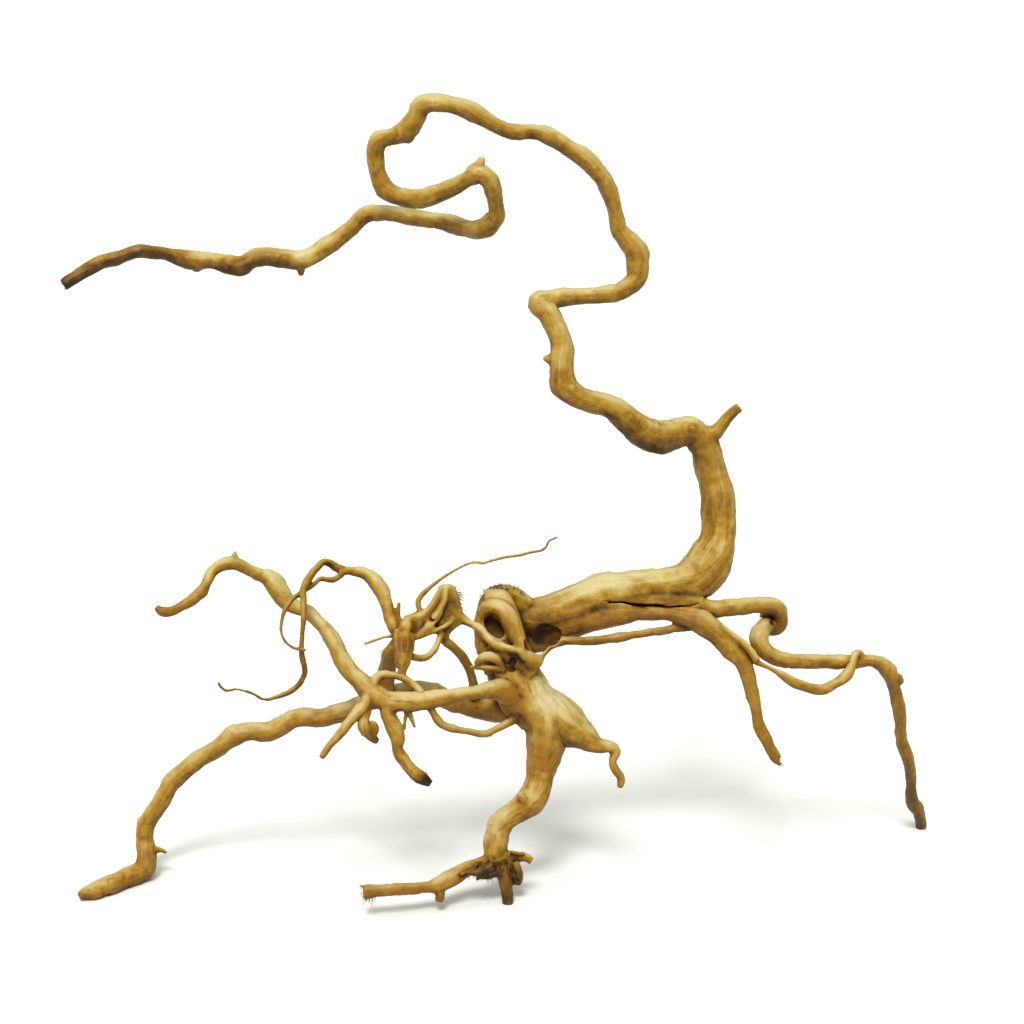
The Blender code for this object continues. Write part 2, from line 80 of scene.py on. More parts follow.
# %% Set the sheet and the sight
SQUARE = 0.0005
SHEET_SQUARES = 1024
SHEET = SHEET_SQUARES * SQUARE
SHEET_CENTRE = Vector((-0.00199, 0.01141, 0.1888))
SIGHT_DISTANCE = 1.21
SIGHT_ANGLE = math.radians(15)
UPPER_LIMB_LEAN = 0.2


def on_sheet(across, down, back):
    """The place of a drawn point, and how much larger it is drawn there for the eye."""
    right = across * SQUARE - SHEET / 2
    up = SHEET / 2 - down * SQUARE
    depth = back * SQUARE - UPPER_LIMB_LEAN * max(up, 0)
    growth = 1 + depth / SIGHT_DISTANCE
    offset = Vector((
        growth * right,
        growth * up * math.sin(SIGHT_ANGLE) + depth * math.cos(SIGHT_ANGLE),
        growth * up * math.cos(SIGHT_ANGLE) - depth * math.sin(SIGHT_ANGLE),
    ))
    return SHEET_CENTRE + offset, growth


print("sheet centre stands", round(SHEET_CENTRE.z * 1000, 1), "mm above the floor")

# %% Set the camera
SENSOR_WIDTH = 36


def put_in_scene(name, data):
    """A new object that holds this data, linked into the scene."""
    piece = bpy.data.objects.new(name, data)
    bpy.context.collection.objects.link(piece)
    return piece


camera = bpy.data.cameras.new("camera")
camera.sensor_width = SENSOR_WIDTH
camera.lens = SENSOR_WIDTH * SIGHT_DISTANCE / SHEET
eye = put_in_scene("camera", camera)
eye.location = SHEET_CENTRE + SIGHT_DISTANCE * Vector((0, -math.cos(SIGHT_ANGLE), math.sin(SIGHT_ANGLE)))
eye.rotation_euler = (math.pi / 2 - SIGHT_ANGLE, 0, 0)
bpy.context.scene.camera = eye
print("camera lens", round(camera.lens, 1), "mm")

# %% [markdown]
# ## Limbs as bars with a living thickness
# A real limb swells and thins all along. A curve with a round bevel can do that, because every point
# of a curve carries its own radius. The drawn points are few, so a smooth curve is laid through them
# first. Each bar also leaves a row of notes behind: where its middle runs, which way it points and
# how far along it is. The grain is laid out from those notes once all bars have grown together.

# %% Make one limb
STEP_ALONG = 2.5  # squares
GRAIN_TWIST = 14.0  # radians in a metre of limb
BAR_ROUNDNESS = 3
skeleton = []
bars = []


def eased(route):
    """The route with a smooth curve (Catmull and Rom's) through its points."""
    points = [Vector(point) for point in route]
    points = [2 * points[0] - points[1], *points, 2 * points[-1] - points[-2]]
    fine = []
    for before, start, end, after in zip(points, points[1:], points[2:], points[3:]):
        steps = max(1, round((end - start).length / STEP_ALONG))
        for step in range(steps):
            t = step / steps
            fine.append(0.5 * (
                2 * start + (end - before) * t + (2 * before - 5 * start + 4 * end - after) * t**2
                + (3 * start - before - 3 * end + after) * t**3
            ))
    return [*fine, points[-2]]


def note_middle(places, radii, tone, warmth):
    """Adds the limb's middle line to the skeleton, with a sideways direction that never flips."""
    along = 0
    heading = (places[1] - places[0]).normalized()
    side = heading.orthogonal().normalized()
    for index, (place, radius) in enumerate(zip(places, radii)):
        ahead = places[min(index + 1, len(places) - 1)]
        behind = places[max(index - 1, 0)]
        turned = (ahead - behind).normalized()
        side = (heading.rotation_difference(turned) @ side).normalized()
        heading = turned
        spun = Quaternion(heading, GRAIN_TWIST * along) @ side
        third = heading.cross(spun)
        skeleton.append([*place, radius, *heading, *spun, *third, along, tone, warmth, len(bars)])
        along += (ahead - place).length


def round_curve(name, thickness, roundness):
    """An empty curve with a round bevel and filled ends."""
    data = bpy.data.curves.new(name, "CURVE")
    data.dimensions = "3D"
    data.bevel_depth = thickness
    data.bevel_resolution = roundness
    data.use_fill_caps = True
    return data


def grow(route, tone=0.0, warmth=0.0):
    """One limb: a round bar along its route. Tone darkens it and warmth reddens it."""
    data = round_curve("limb", 1, BAR_ROUNDNESS)
    fine = eased(route)
    spline = data.splines.new("POLY")
    spline.points.add(len(fine) - 1)
    places = []
    radii = []
    for point, (across, down, back, radius) in zip(spline.points, fine):
        place, growth = on_sheet(across, down, back)
        places.append(place)
        radii.append(radius * SQUARE * growth)
        point.co = (*place, 1)
        point.radius = radii[-1]
    note_middle(places, radii, tone, warmth)
    bars.append(put_in_scene("limb", data))


def grow_all(routes, tone=0.0, warmth=0.0):
    """Several limbs of one colour."""
    for route in routes:
        grow(route, tone, warmth)


# %% [markdown]
# ## The trunk and the upper limb
# The trunk starts at the torn crown on the left, runs to the right, turns upright and goes on as the
# long upper limb. It is one strand of wood from end to end, so it is one route. The knobs on it are
# the stubs of side roots that broke off, and they are short tapering bars.

# %% Grow the trunk and the upper limb
TRUNK_AND_UPPER_LIMB = [
    (512, 612, 12, 18), (535, 617, 11, 20), (560, 612, 10, 22.5), (600, 595, 10, 21), (640, 588, 12, 17.5),
    (660, 587, 14, 17.5), (680, 585, 16, 20), (700, 575, 16, 23), (714, 552, 16, 21.5),
    (718, 535, 16, 19), (718, 505, 16, 17.5), (717, 490, 14, 17.5), (713, 475, 14, 17),
    (709, 460, 12, 16), (703, 444, 8, 16), (690, 431, 4, 16), (675, 434, 0, 16.5),
    (658, 436, -10, 18), (643, 431, -16, 17), (627, 419, -20, 15), (613, 408, -24, 13),
    (597, 402, -28, 12), (580, 398, -32, 11.5), (565, 388, -36, 13), (562, 374, -36, 12),
    (561, 361, -36, 12), (562, 346, -32, 12), (557, 330, -28, 11.5), (549, 314, -24, 11.5),
    (539, 302, -20, 11.5), (558, 298, -16, 9.5), (575, 297, -13, 9.5), (590, 296, -10, 9.5),
    (605, 295, -5, 9.5), (620, 292, 0, 9), (636, 279, 4, 10.5), (638, 265, 6, 11), (637, 252, 6, 11),
    (627, 240, 2, 10), (619, 228, 0, 9), (616, 214, -3, 8), (611, 196, -6, 9), (602, 178, -10, 9.5),
    (592, 165, -13, 10.5), (580, 155, -16, 10), (565, 146, -18, 8.5), (550, 137, -20, 9),
    (535, 132, -22, 8), (520, 132, -24, 8), (505, 129, -27, 8), (490, 122, -30, 8.5),
    (475, 113, -33, 9), (462, 107, -36, 9), (450, 104, -38, 8.5), (435, 102, -40, 9.5),
    (421, 106, -38, 9.5), (416, 117, -36, 9.5), (407, 129, -30, 11), (393, 136, -24, 9),
    (380, 140, -20, 10), (376, 150, -16, 10), (376, 160, -14, 10), (378, 172, -12, 9),
    (384, 188, -12, 9.5), (397, 196, -14, 9.5), (410, 198, -16, 9.5), (425, 198, -22, 10),
    (435, 194, -27, 10), (450, 188, -32, 9.5), (465, 181, -42, 9.5), (478, 174, -50, 9.5),
    (488, 179, -50, 9.5), (493, 190, -44, 8.5), (496, 203, -38, 8.5), (496, 217, -30, 9.5),
    (485, 228, -18, 11), (470, 229, -4, 9.5), (455, 225, 8, 10), (440, 221, 16, 9),
    (420, 218, 24, 8.5), (400, 215, 30, 8.5), (380, 212, 36, 8.5), (365, 215, 40, 9),
    (352, 228, 39, 8.5), (345, 234, 38, 9), (330, 245, 36, 9.5), (315, 254, 32, 9),
    (300, 260, 29, 10), (285, 259, 28, 10), (268, 257, 26, 9.5), (252, 260, 25, 10),
    (240, 266, 24, 11), (225, 264, 20, 10), (210, 260, 16, 9), (197, 261, 13, 9.5),
    (180, 258, 10, 8), (160, 253, 5, 7), (140, 251, 0, 7.5), (120, 257, -5, 7.5), (100, 263, -10, 7.5),
    (84, 272, -15, 7), (63, 285, -21, 7.5),
]
UPPER_KNOBS = [
    [(556, 362, -35, 8), (549, 359, -34, 6), (543, 358, -34, 3)],
    [(700, 436, 6, 12), (716, 432, 6, 9), (727, 418, 4, 6.5), (739, 407, 2, 6)],
    [(407, 132, -30, 8), (411, 141, -30, 5), (412, 142, -30, 2.4)],
    [(472, 172, -48, 8), (480, 163, -50, 4.5), (483, 157, -50, 3)],
    [(300, 262, 29, 8), (301, 270, 29, 4), (301, 276, 29, 2.6)],
    [(240, 268, 24, 8), (242, 276, 24, 4.5)],
    [(197, 263, 13, 7), (197, 272, 13, 3.5)],
]
grow(TRUNK_AND_UPPER_LIMB, tone=0.02)
grow_all(UPPER_KNOBS, tone=0.1)
print(len(bars), "bars")

# %% [markdown]
# ## The lower strand and the legs on the right
# A second strand hugs the trunk from below and leaves it as the short leg, whose end is frayed. The
# far right leg starts beside it, curls round itself once and then comes down at the back. A thin
# root runs under the trunk with a slit of daylight above it.

# %% Grow the right side
LOWER_STRAND_AND_SHORT_LEG = [
    (534, 628, 12, 16), (548, 627, 9, 15), (562, 624, 6, 16.5), (590, 618, 4, 14.5), (620, 614, 2, 11.5),
    (650, 613, 0, 9), (680, 615, 0, 9.5), (700, 621, 2, 12), (715, 634, 2, 11), (730, 648, 4, 10.5),
    (741, 659, 6, 9), (747, 671, 8, 8), (750, 685, 10, 7), (754, 700, 10, 6.5), (757, 715, 12, 6.5),
    (760, 728, 12, 6.5), (766, 739, 12, 6), (770, 748, 12, 5.5), (773, 757, 12, 5), (779, 763, 12, 3.5),
]
SHORT_LEG_STRANDS = [
    [(700, 610, 4, 3), (712, 619, 2, 3.2), (722, 627, 0, 3.4), (735, 637, -1, 3.4),
     (745, 645, -1, 3.6), (752, 653, -2, 3.6), (757, 661, -4, 4)],
    [(771, 746, 12, 4), (776, 752, 12, 3.2), (781, 757, 12, 1.8)],
    [(773, 754, 12, 4), (777, 760, 11, 3), (780, 766, 10, 1.8)],
]
RIGHT_LEG = [
    (680, 600, 8, 12), (700, 606, 8, 9.5), (715, 609, 10, 9), (730, 607, 12, 8.5), (745, 606, 14, 8.5),
    (760, 605, 17, 8), (773, 606, 22, 8), (781, 614, 27, 8), (780, 625, 32, 8), (772, 629, 33, 7.5),
    (766, 626, 26, 8.5), (760, 631, 18, 9.5), (758, 641, 13, 9.5), (764, 651, 12, 9), (776, 658, 13, 8.5),
    (790, 661, 16, 8), (810, 661, 22, 7.5), (830, 662, 30, 7), (850, 662, 38, 6.5), (870, 661, 48, 7),
    (883, 665, 56, 8), (891, 675, 64, 8), (894, 688, 72, 7), (897, 700, 80, 6.5), (900, 715, 90, 6.5),
    (900, 730, 100, 6.5), (902, 743, 110, 6.5), (907, 755, 120, 6), (910, 770, 132, 6),
    (911, 785, 145, 6.5), (912, 800, 160, 6.5), (918, 811, 174, 6.5), (921, 820, 184, 6.5),
    (921, 829, 190, 6),
]
RIGHT_LEG_STRANDS = [
    [(893, 678, 66, 6), (903, 678, 66, 4)],
    [(762, 612, 34, 6), (776, 619, 38, 6)],
    [(750, 652, 5, 4), (757, 662, 1, 3.5), (770, 668, -1, 3.2), (785, 677, 2, 4.5), (800, 685, 8, 5.5),
     (820, 690, 16, 5.5), (835, 684, 22, 5), (847, 675, 26, 5), (853, 663, 29, 4), (856, 653, 36, 4),
     (861, 654, 46, 4)],
]
ROOT_UNDER_TRUNK = [
    (526, 660, -28, 6), (535, 664, -24, 6), (541, 656, -19, 5), (547, 647, -14, 5), (556, 642, -12, 5),
    (570, 641, -10, 4.5), (600, 640, -8, 4.5), (640, 634, -4, 4.5), (670, 629, 2, 4.5), (690, 626, 8, 5),
    (704, 624, 8, 5),
]
VALLEY_UNDER_TRUNK = [
    (590, 604, 5, 11), (620, 602, 6, 12), (650, 600, 7, 12), (680, 601, 8, 12), (702, 604, 8, 10),
]
RIGHT_KNEE_KNOB = [(890, 675, 72, 6), (896, 677, 74, 5.5), (901, 681, 75, 4.4), (904, 681, 75, 2.4)]
grow(LOWER_STRAND_AND_SHORT_LEG, tone=0.2, warmth=0.35)
grow_all(SHORT_LEG_STRANDS, tone=0.1, warmth=0.2)
grow(RIGHT_LEG, tone=0.2, warmth=0.25)
grow_all(RIGHT_LEG_STRANDS, tone=0.25, warmth=0.3)
grow(RIGHT_KNEE_KNOB, tone=0.2, warmth=0.3)
grow(ROOT_UNDER_TRUNK, tone=0.15, warmth=0.25)
grow(VALLEY_UNDER_TRUNK, tone=0.1, warmth=0.2)
print(len(bars), "bars")

# %% [markdown]
# ## The crown, the body and the front leg
# Below the crown the wood is thick and pale. It narrows into the front leg, which stands on a short
# peg and sends a branch along the ground. The crown is a burl with a loop of root round an oval
# hollow, and a strand from the torn plate crosses in front of it.

# %% Grow the middle
BODY = [
    (499, 602, 4, 17), (502, 618, 2, 20), (505, 640, 0, 22), (512, 670, 0, 26), (526, 697, 0, 28),
    (544, 720, 0, 26), (545, 742, 0, 21), (543, 760, 0, 17), (541, 775, 0, 14.5), (537, 790, 0, 14.5),
    (529, 802, 0, 15), (515, 812, 0, 12.5), (501, 823, 0, 12), (496, 840, 0, 13), (495, 852, 0, 12),
    (498, 862, 0, 11), (503, 872, 0, 8), (506, 885, 0, 6.5), (508, 896, 0, 6), (508, 906, 0, 6),
]
HIP = [
    (522, 684, 0, 18), (543, 706, 0, 21), (565, 723, 0, 22.5), (583, 736, 0, 16), (597, 745, 0, 9),
    (609, 746, 0, 6.5), (616, 751, 0, 6), (613, 760, -2, 4.2), (615, 769, -2, 4.2),
    (621, 778, -2, 4.5), (620, 788, -2, 3),
]
CROWN = [
    [(486, 604, -6, 8), (490, 602, -6, 11), (499, 599, -2, 15), (512, 603, 4, 16), (528, 611, 8, 13.5),
     (544, 616, 10, 9)],
    [(503, 642, 14, 8), (517, 641, 18, 13.5), (540, 638, 20, 13.5), (566, 628, 18, 12.5), (590, 615, 14, 8)],
    [(488, 603, -6, 10), (483, 614, -10, 7.5), (481, 628, -12, 7), (482, 643, -12, 7), (487, 657, -12, 8),
     (493, 672, -10, 10)],
    [(484, 614, -14, 6.5), (487, 608, -18, 7), (495, 606, -22, 7.5), (504, 611, -25, 8), (511, 622, -27, 8.4),
     (516, 634, -28, 8.8), (521, 647, -28, 8.6), (529, 657, -26, 8.4), (539, 664, -20, 8)],
    [(487, 600, -9, 10), (495, 599, -11, 11.5), (503, 602, -12, 11), (509, 608, -14, 8),
     (514, 615, -16, 4.5)],
    [(500, 604, -10, 11), (511, 618, -16, 9), (516, 634, -18, 9), (523, 650, -18, 9)],
    [(492, 642, -20, 8), (502, 650, -22, 9), (520, 660, -20, 10), (530, 672, -14, 12)],
    [(476, 664, -24, 3), (482, 658, -31, 4.4), (489, 656, -33, 5), (496, 659, -31, 4.4), (502, 665, -26, 3)],
    [(470, 667, -20, 2.2), (480, 668, -26, 2.4), (492, 668, -28, 2.8), (504, 669, -24, 4)],
]
BLUNT_ENDS_CLOSED = [
    [(522, 613, 12, 17.5), (509, 611, 11, 16), (501, 609, 9, 11.5), (495, 608, 8, 5)],
    [(531, 806, -6, 5), (522, 798, -13, 4.4), (518, 794, -16, 3.2)],
    [(499, 606, 3, 17), (498, 596, 3, 14), (497, 590, 2, 9)],
]
STRAND_OVER_CROWN = [
    (448, 608, -22, 5), (460, 617, -20, 5), (468, 623, -21, 4.5), (475, 626, -24, 4.8), (482, 631, -28, 4.8),
    (488, 638, -31, 4.8), (496, 645, -33, 4.4), (507, 648, -36, 4), (518, 651, -36, 4.5),
    (527, 657, -32, 5), (536, 663, -24, 6),
]
FOOT_BRANCH = [
    (494, 860, -2, 9), (480, 865, -5, 8), (466, 869, -10, 8), (452, 877, -18, 8), (437, 885, -26, 7.5),
    (420, 888, -32, 6.5), (400, 889, -38, 6.5), (385, 890, -42, 6.5), (363, 892, -44, 7),
]
FOOT_KNOBS = [
    [(437, 885, -26, 6), (440, 893, -26, 5), (439, 902, -26, 4)],
    [(500, 855, 0, 7), (515, 857, 0, 5), (525, 857, 0, 4.5), (532, 861, 0, 4)],
    [(505, 858, 0, 8), (512, 865, 0, 5.5), (518, 875, 0, 5.5), (517, 885, 0, 4)],
]
FOOT_FLAKES = [
    [(492, 866, -14, 5), (482, 871, -18, 4), (472, 873, -22, 2.6), (466, 872, -22, 1.8)],
    [(498, 873, -12, 4), (488, 877, -16, 3), (478, 877, -19, 2)],
    [(488, 858, -14, 2.4), (496, 862, -16, 2), (503, 859, -15, 1.8), (507, 852, -12, 1.8)],
    [(505, 856, -12, 2.2), (509, 862, -13, 2), (508, 870, -13, 1.9), (512, 877, -10, 1.8)],
    [(499, 862, -14, 2), (498, 870, -15, 1.9), (502, 878, -13, 1.8)],
    [(510, 852, -8, 2.6), (518, 854, -8, 2.4), (524, 853, -5, 2)],
    [(515, 862, -8, 3.4), (519, 871, -8, 3.8), (520, 879, -6, 2.8)],
    [(478, 864, -14, 2), (470, 870, -20, 1.8), (460, 875, -24, 1.8)],
    [(486, 874, -18, 1.9), (476, 880, -20, 1.8)],
]
grow(BODY, tone=-0.15, warmth=0.3)
grow(HIP, tone=0.1, warmth=0.1)
grow_all(CROWN, tone=0.15, warmth=0.3)
grow_all(BLUNT_ENDS_CLOSED, tone=0.1, warmth=0.5)
grow(STRAND_OVER_CROWN, tone=0.0, warmth=0.25)
grow(FOOT_BRANCH, tone=0.35, warmth=0.5)
grow_all(FOOT_KNOBS, tone=0.3, warmth=0.3)
grow_all(FOOT_FLAKES, tone=0.9, warmth=0.0)
print(len(bars), "bars")

# %% [markdown]
# ## The limbs on the left
# The front arm reaches out and up to the left, and the back limb passes behind it to become the left
# leg. A thin light strip hangs from one to the other, and torn roots hang below.

# %% Grow the left side
FRONT_ARM = [
    (512, 690, -10, 12), (500, 690, -24, 10), (490, 690, -32, 9.5), (475, 692, -40, 8),
    (460, 694, -44, 7.5), (445, 697, -48, 7.5), (430, 700, -52, 8), (415, 702, -54, 9),
    (400, 702, -56, 10), (385, 700, -54, 11), (374, 694, -52, 12), (365, 686, -50, 10.5),
    (358, 679, -49, 9), (348, 669, -48, 9), (340, 657, -44, 8.5), (334, 643, -40, 8.5),
    (324, 628, -36, 9), (310, 614, -30, 8), (296, 607, -24, 8), (283, 599, -20, 9), (275, 589, -20, 8),
    (267, 579, -20, 6.5), (255, 573, -22, 6), (245, 568, -25, 6.5), (235, 563, -28, 6.5),
    (222, 565, -32, 6), (212, 572, -36, 6), (207, 583, -40, 5.5), (201, 593, -44, 6),
    (192, 600, -48, 5.2), (182, 606, -52, 5.5), (172, 611, -56, 5), (162, 612, -60, 5),
    (156, 607, -61, 3.2),
]
ARM_SHOULDER = [
    (536, 704, -6, 12), (522, 696, -12, 13), (508, 692, -20, 12.5), (496, 690, -28, 10.5),
    (484, 691, -35, 8.5),
]
FRONT_ARM_KNOBS = [
    [(393, 703, -54, 10), (396, 709, -54, 11)],
    [(235, 562, -28, 5), (235, 557, -28, 3.5), (235, 551, -28, 1.8)],
    [(275, 586, -20, 6), (282, 579, -20, 5)],
]
ARM_BULGE = [
    (261, 577, -21, 6), (268, 577, -20, 8.4), (275, 582, -20, 9.6), (281, 591, -20, 9.4),
    (288, 602, -21, 8),
]
BACK_LIMB_AND_LEFT_LEG = [
    (518, 712, 0, 14), (500, 711, 10, 13), (480, 708, 20, 12), (465, 705, 26, 11), (450, 702, 30, 10),
    (430, 692, 36, 10), (405, 692, 34, 9), (380, 697, 28, 10), (365, 703, 22, 11), (350, 710, 16, 11),
    (335, 714, 18, 10.5), (320, 717, 20, 9.5), (305, 716, 22, 9.5), (292, 719, 24, 9.5),
    (280, 727, 26, 9.5), (268, 732, 28, 9.5), (253, 732, 31, 9), (241, 734, 34, 10),
    (231, 738, 36, 11), (221, 746, 38, 10), (208, 754, 41, 9.5), (196, 761, 44, 10),
    (182, 772, 47, 9.5), (170, 785, 50, 9), (161, 800, 52, 9), (151, 815, 54, 9), (145, 828, 56, 10),
    (145, 842, 56, 9), (147, 853, 54, 9), (146, 866, 52, 11), (140, 872, 48, 10), (125, 879, 36, 10),
    (109, 885, 22, 10), (96, 890, 12, 10), (86, 893, 6, 7.5), (79, 896, 2, 4),
]
LEFT_LEG_TWIG = [(147, 850, 54, 7), (156, 850, 54, 4), (161, 850, 54, 2.6), (167, 853, 54, 1.8)]
LOWER_LOOP = [
    (372, 690, -56, 6), (378, 677, -52, 4.8), (392, 675, -50, 4.5), (405, 679, -50, 4.2),
    (415, 687, -50, 4), (425, 698, -52, 4), (432, 711, -50, 3.6), (441, 724, -46, 4.2),
    (455, 729, -40, 4), (470, 732, -32, 3.6), (485, 734, -26, 4), (500, 727, -20, 3.8),
    (514, 720, -14, 5),
]
HANGING_ROOTS = [
    [(371, 690, -54, 8), (366, 701, -60, 6), (355, 715, -66, 5.5), (340, 733, -72, 4.5),
     (330, 745, -78, 4), (321, 758, -84, 3)],
    [(369, 698, -56, 7), (366, 712, -58, 5.2), (363, 726, -66, 5.2), (369, 735, -61, 5),
     (377, 741, -56, 4.2)],
    [(366, 730, -64, 4.5), (371, 726, -62, 3.5), (374, 721, -60, 3)],
    [(390, 700, -54, 9), (388, 712, -56, 8.5), (394, 727, -56, 8), (398, 738, -56, 6.5),
     (397, 748, -56, 5.5), (402, 758, -56, 6.5), (412, 770, -56, 6), (422, 778, -56, 6.5),
     (431, 784, -56, 4)],
    [(402, 702, -54, 4), (405, 713, -54, 2.6), (405, 722, -54, 1.8), (404, 730, -54, 1.8)],
    [(407, 704, -54, 4), (410, 714, -54, 2.6), (415, 728, -54, 1.8)],
]
grow(FRONT_ARM, tone=0.1, warmth=0.3)
grow(ARM_SHOULDER, tone=0.1, warmth=0.45)
grow_all(FRONT_ARM_KNOBS, tone=0.2, warmth=0.3)
grow(ARM_BULGE, tone=0.0, warmth=0.2)
grow(BACK_LIMB_AND_LEFT_LEG, tone=0.15, warmth=0.3)
grow(LEFT_LEG_TWIG, tone=0.4)
grow(LOWER_LOOP, tone=0.15, warmth=0.35)
grow_all(HANGING_ROOTS, tone=0.15, warmth=0.3)
print(len(bars), "bars")

# %% [markdown]
# ## The knot of roots beside the crown
# Here several small roots meet. An arch rises from them and splits into two fine rootlets, a whip
# reaches to the right, and a thin plate of wood stands up where a bigger root tore away. The plate is
# not a bar, so it is a slab between two copies of its outline, with the ridges laid on it as bars.

# %% Grow the knot, the arch and the rootlets
HEAD_KNOT = [
    [(402, 633, -28, 7), (407, 625, -30, 8.5), (411, 622, -30, 6)],
    [(405, 620, -30, 5), (415, 617, -28, 5), (426, 613, -24, 5)],
    [(399, 624, -28, 4), (398, 615, -28, 2.8), (399, 602, -28, 1.8)],
    [(402, 636, -30, 4), (396, 636, -32, 2.8), (385, 637, -34, 1.8), (375, 640, -36, 1.8),
     (364, 644, -38, 1.8)],
    [(404, 634, -34, 7), (404, 642, -40, 6.5), (403, 655, -46, 6.5), (402, 667, -48, 4.5),
     (402, 678, -48, 2.6)],
    [(407, 627, -28, 8), (400, 640, -26, 8), (390, 655, -16, 8), (387, 672, 4, 8), (385, 690, 20, 9)],
]
ARCH = [
    (407, 630, -28, 6), (398, 631, -28, 6.5), (391, 620, -27, 7.5), (387, 605, -24, 7),
    (381, 590, -20, 7.5), (373, 580, -18, 7.5), (363, 573, -16, 6.5), (350, 571, -20, 5.2),
    (340, 571, -24, 5),
]
UPPER_ROOTLET = [
    (344, 571, -22, 5), (336, 567, -26, 4), (330, 563, -28, 4), (323, 562, -33, 4), (315, 570, -42, 3.6),
    (307, 581, -51, 4), (303, 592, -57, 3.6), (304, 612, -67, 3.4), (302, 635, -71, 3),
    (302, 655, -72, 3), (305, 672, -69, 3), (300, 683, -70, 3), (291, 691, -72, 2.7), (282, 695, -74, 2.5),
    (270, 699, -77, 1.8), (262, 699, -80, 1.8), (254, 694, -82, 1.8), (245, 691, -84, 1.8),
    (235, 689, -86, 1.8), (228, 691, -88, 1.8), (222, 688, -90, 1.8), (218, 682, -92, 1.8),
]
LOWER_ROOTLET = [
    (343, 572, -23, 4), (339, 577, -28, 3), (331, 580, -34, 2.8), (320, 579, -41, 2.6),
    (312, 586, -48, 2.6), (302, 592, -55, 2.8), (292, 600, -60, 2.6), (284, 612, -64, 2.5),
    (281, 629, -68, 1.8), (285, 641, -71, 1.8), (294, 648, -74, 1.8), (306, 650, -76, 1.8),
]
PLATE_RIDGES = [
    [(442, 586, -26, 3), (435, 600, -28, 3.4), (425, 613, -30, 3.6), (411, 619, -30, 4)],
    [(447, 586, -28, 3), (443, 604, -31, 3.6), (433, 621, -33, 4.5), (426, 630, -34, 4.5),
     (418, 637, -34, 4.5)],
    [(454, 588, -24, 2.6), (457, 600, -24, 3), (459, 612, -22, 3.4)],
    [(414, 638, -34, 3), (425, 635, -35, 2.6), (437, 630, -34, 2.6), (447, 625, -30, 2.6),
     (454, 618, -24, 3)],
    [(404, 650, -42, 4), (413, 657, -38, 4), (424, 658, -38, 4), (433, 652, -38, 4), (438, 643, -34, 4),
     (442, 633, -28, 4)],
    [(442, 628, -24, 7), (445, 640, -20, 6), (452, 646, -16, 5.5), (462, 657, -8, 5), (469, 669, 0, 4.8),
     (473, 683, 6, 4.8), (474, 698, 14, 5.5)],
]
WHIP = [
    (415, 637, -32, 3), (419, 625, -30, 3), (420, 612, -28, 3), (418, 602, -27, 3), (421, 596, -26, 2.8),
    (428, 589, -26, 2.5), (438, 581, -26, 1.8), (450, 573, -26, 1.8), (465, 565, -25, 1.8),
    (475, 562, -24, 1.8), (484, 563, -23, 1.8), (493, 560, -22, 1.8), (506, 557, -20, 1.8),
    (520, 555, -18, 1.8), (531, 552, -17, 1.8), (540, 551, -16, 1.8), (546, 547, -16, 1.8),
    (549, 541, -16, 1.8), (558, 537, -15, 1.8),
]
KNOT_RAGS = [
    [(397, 630, -34, 4), (396, 642, -42, 3.2), (398, 656, -48, 3), (396, 668, -46, 1.8)],
    [(411, 634, -34, 4), (412, 646, -42, 3), (409, 658, -48, 3.2), (406, 668, -50, 2.6),
     (403, 676, -50, 1.9)],
    [(408, 638, -44, 3), (407, 650, -48, 2.4), (404, 664, -50, 1.8)],
    [(368, 722, -58, 5), (363, 729, -60, 4), (364, 736, -60, 2.4)],
    [(370, 724, -60, 4), (375, 728, -60, 4.6), (373, 737, -60, 4), (378, 742, -58, 3)],
]
grow_all(HEAD_KNOT, tone=0.25, warmth=0.2)
grow(ARCH, tone=0.1, warmth=0.25)
grow(UPPER_ROOTLET, tone=0.75)
grow(LOWER_ROOTLET, tone=0.75)
grow_all(PLATE_RIDGES, tone=0.05, warmth=0.15)
grow(WHIP, tone=0.25)
grow_all(KNOT_RAGS, tone=0.5, warmth=0.4)
print(len(bars), "bars")

# %% Raise the torn plate
PLATE_OUTLINE = [
    (442, 584, -25), (452, 584, -25), (457, 592, -24), (458, 602, -23), (462, 612, -21), (466, 621, -20),
    (456, 628, -22), (449, 636, -22), (439, 633, -26), (428, 635, -29), (415, 638, -31),
    (406, 630, -30), (409, 618, -30), (424, 613, -29), (434, 600, -27),
]
PLATE_THICKNESS = 7


def slab(name, front, back):
    """A closed plate between two outlines that have the same number of points."""
    count = len(front)
    turns = [(i, (i + 1) % count) for i in range(count)]
    sides = [(i, i + count, j + count, j) for i, j in turns]
    caps = [tuple(range(count)), tuple(range(2 * count - 1, count - 1, -1))]
    mesh = bpy.data.meshes.new(name)
    mesh.from_pydata([*front, *back], [], [*sides, *caps])
    return put_in_scene(name, mesh)


plate_front = [on_sheet(x, y, back - PLATE_THICKNESS / 2)[0] for x, y, back in PLATE_OUTLINE]
plate_back = [on_sheet(x, y, back + PLATE_THICKNESS / 2)[0] for x, y, back in PLATE_OUTLINE]
bars.append(slab("plate", plate_front, plate_back))
print("plate is", round(PLATE_THICKNESS * SQUARE * 1000, 1), "mm thick")

# %% [markdown]
# ## Growing together
# The bars overlap where the limbs meet. Joined and remeshed with small voxels they become one skin,
# as the real wood is. A Boolean union could join them too, but it would leave a hard crease at each
# meeting, where wood always has a fillet. Smoothing the voxel skin gives that fillet for nothing.

# %% Fuse the bars into one skin
SKIN_VOXEL = 0.00055
SKIN_PASSES = 2
ROUNDING = 0.5


def select_only(pieces):
    """Selects these pieces alone and makes the first one active."""
    bpy.ops.object.select_all(action="DESELECT")
    for piece in pieces:
        piece.select_set(True)
    bpy.context.view_layer.objects.active = pieces[0]


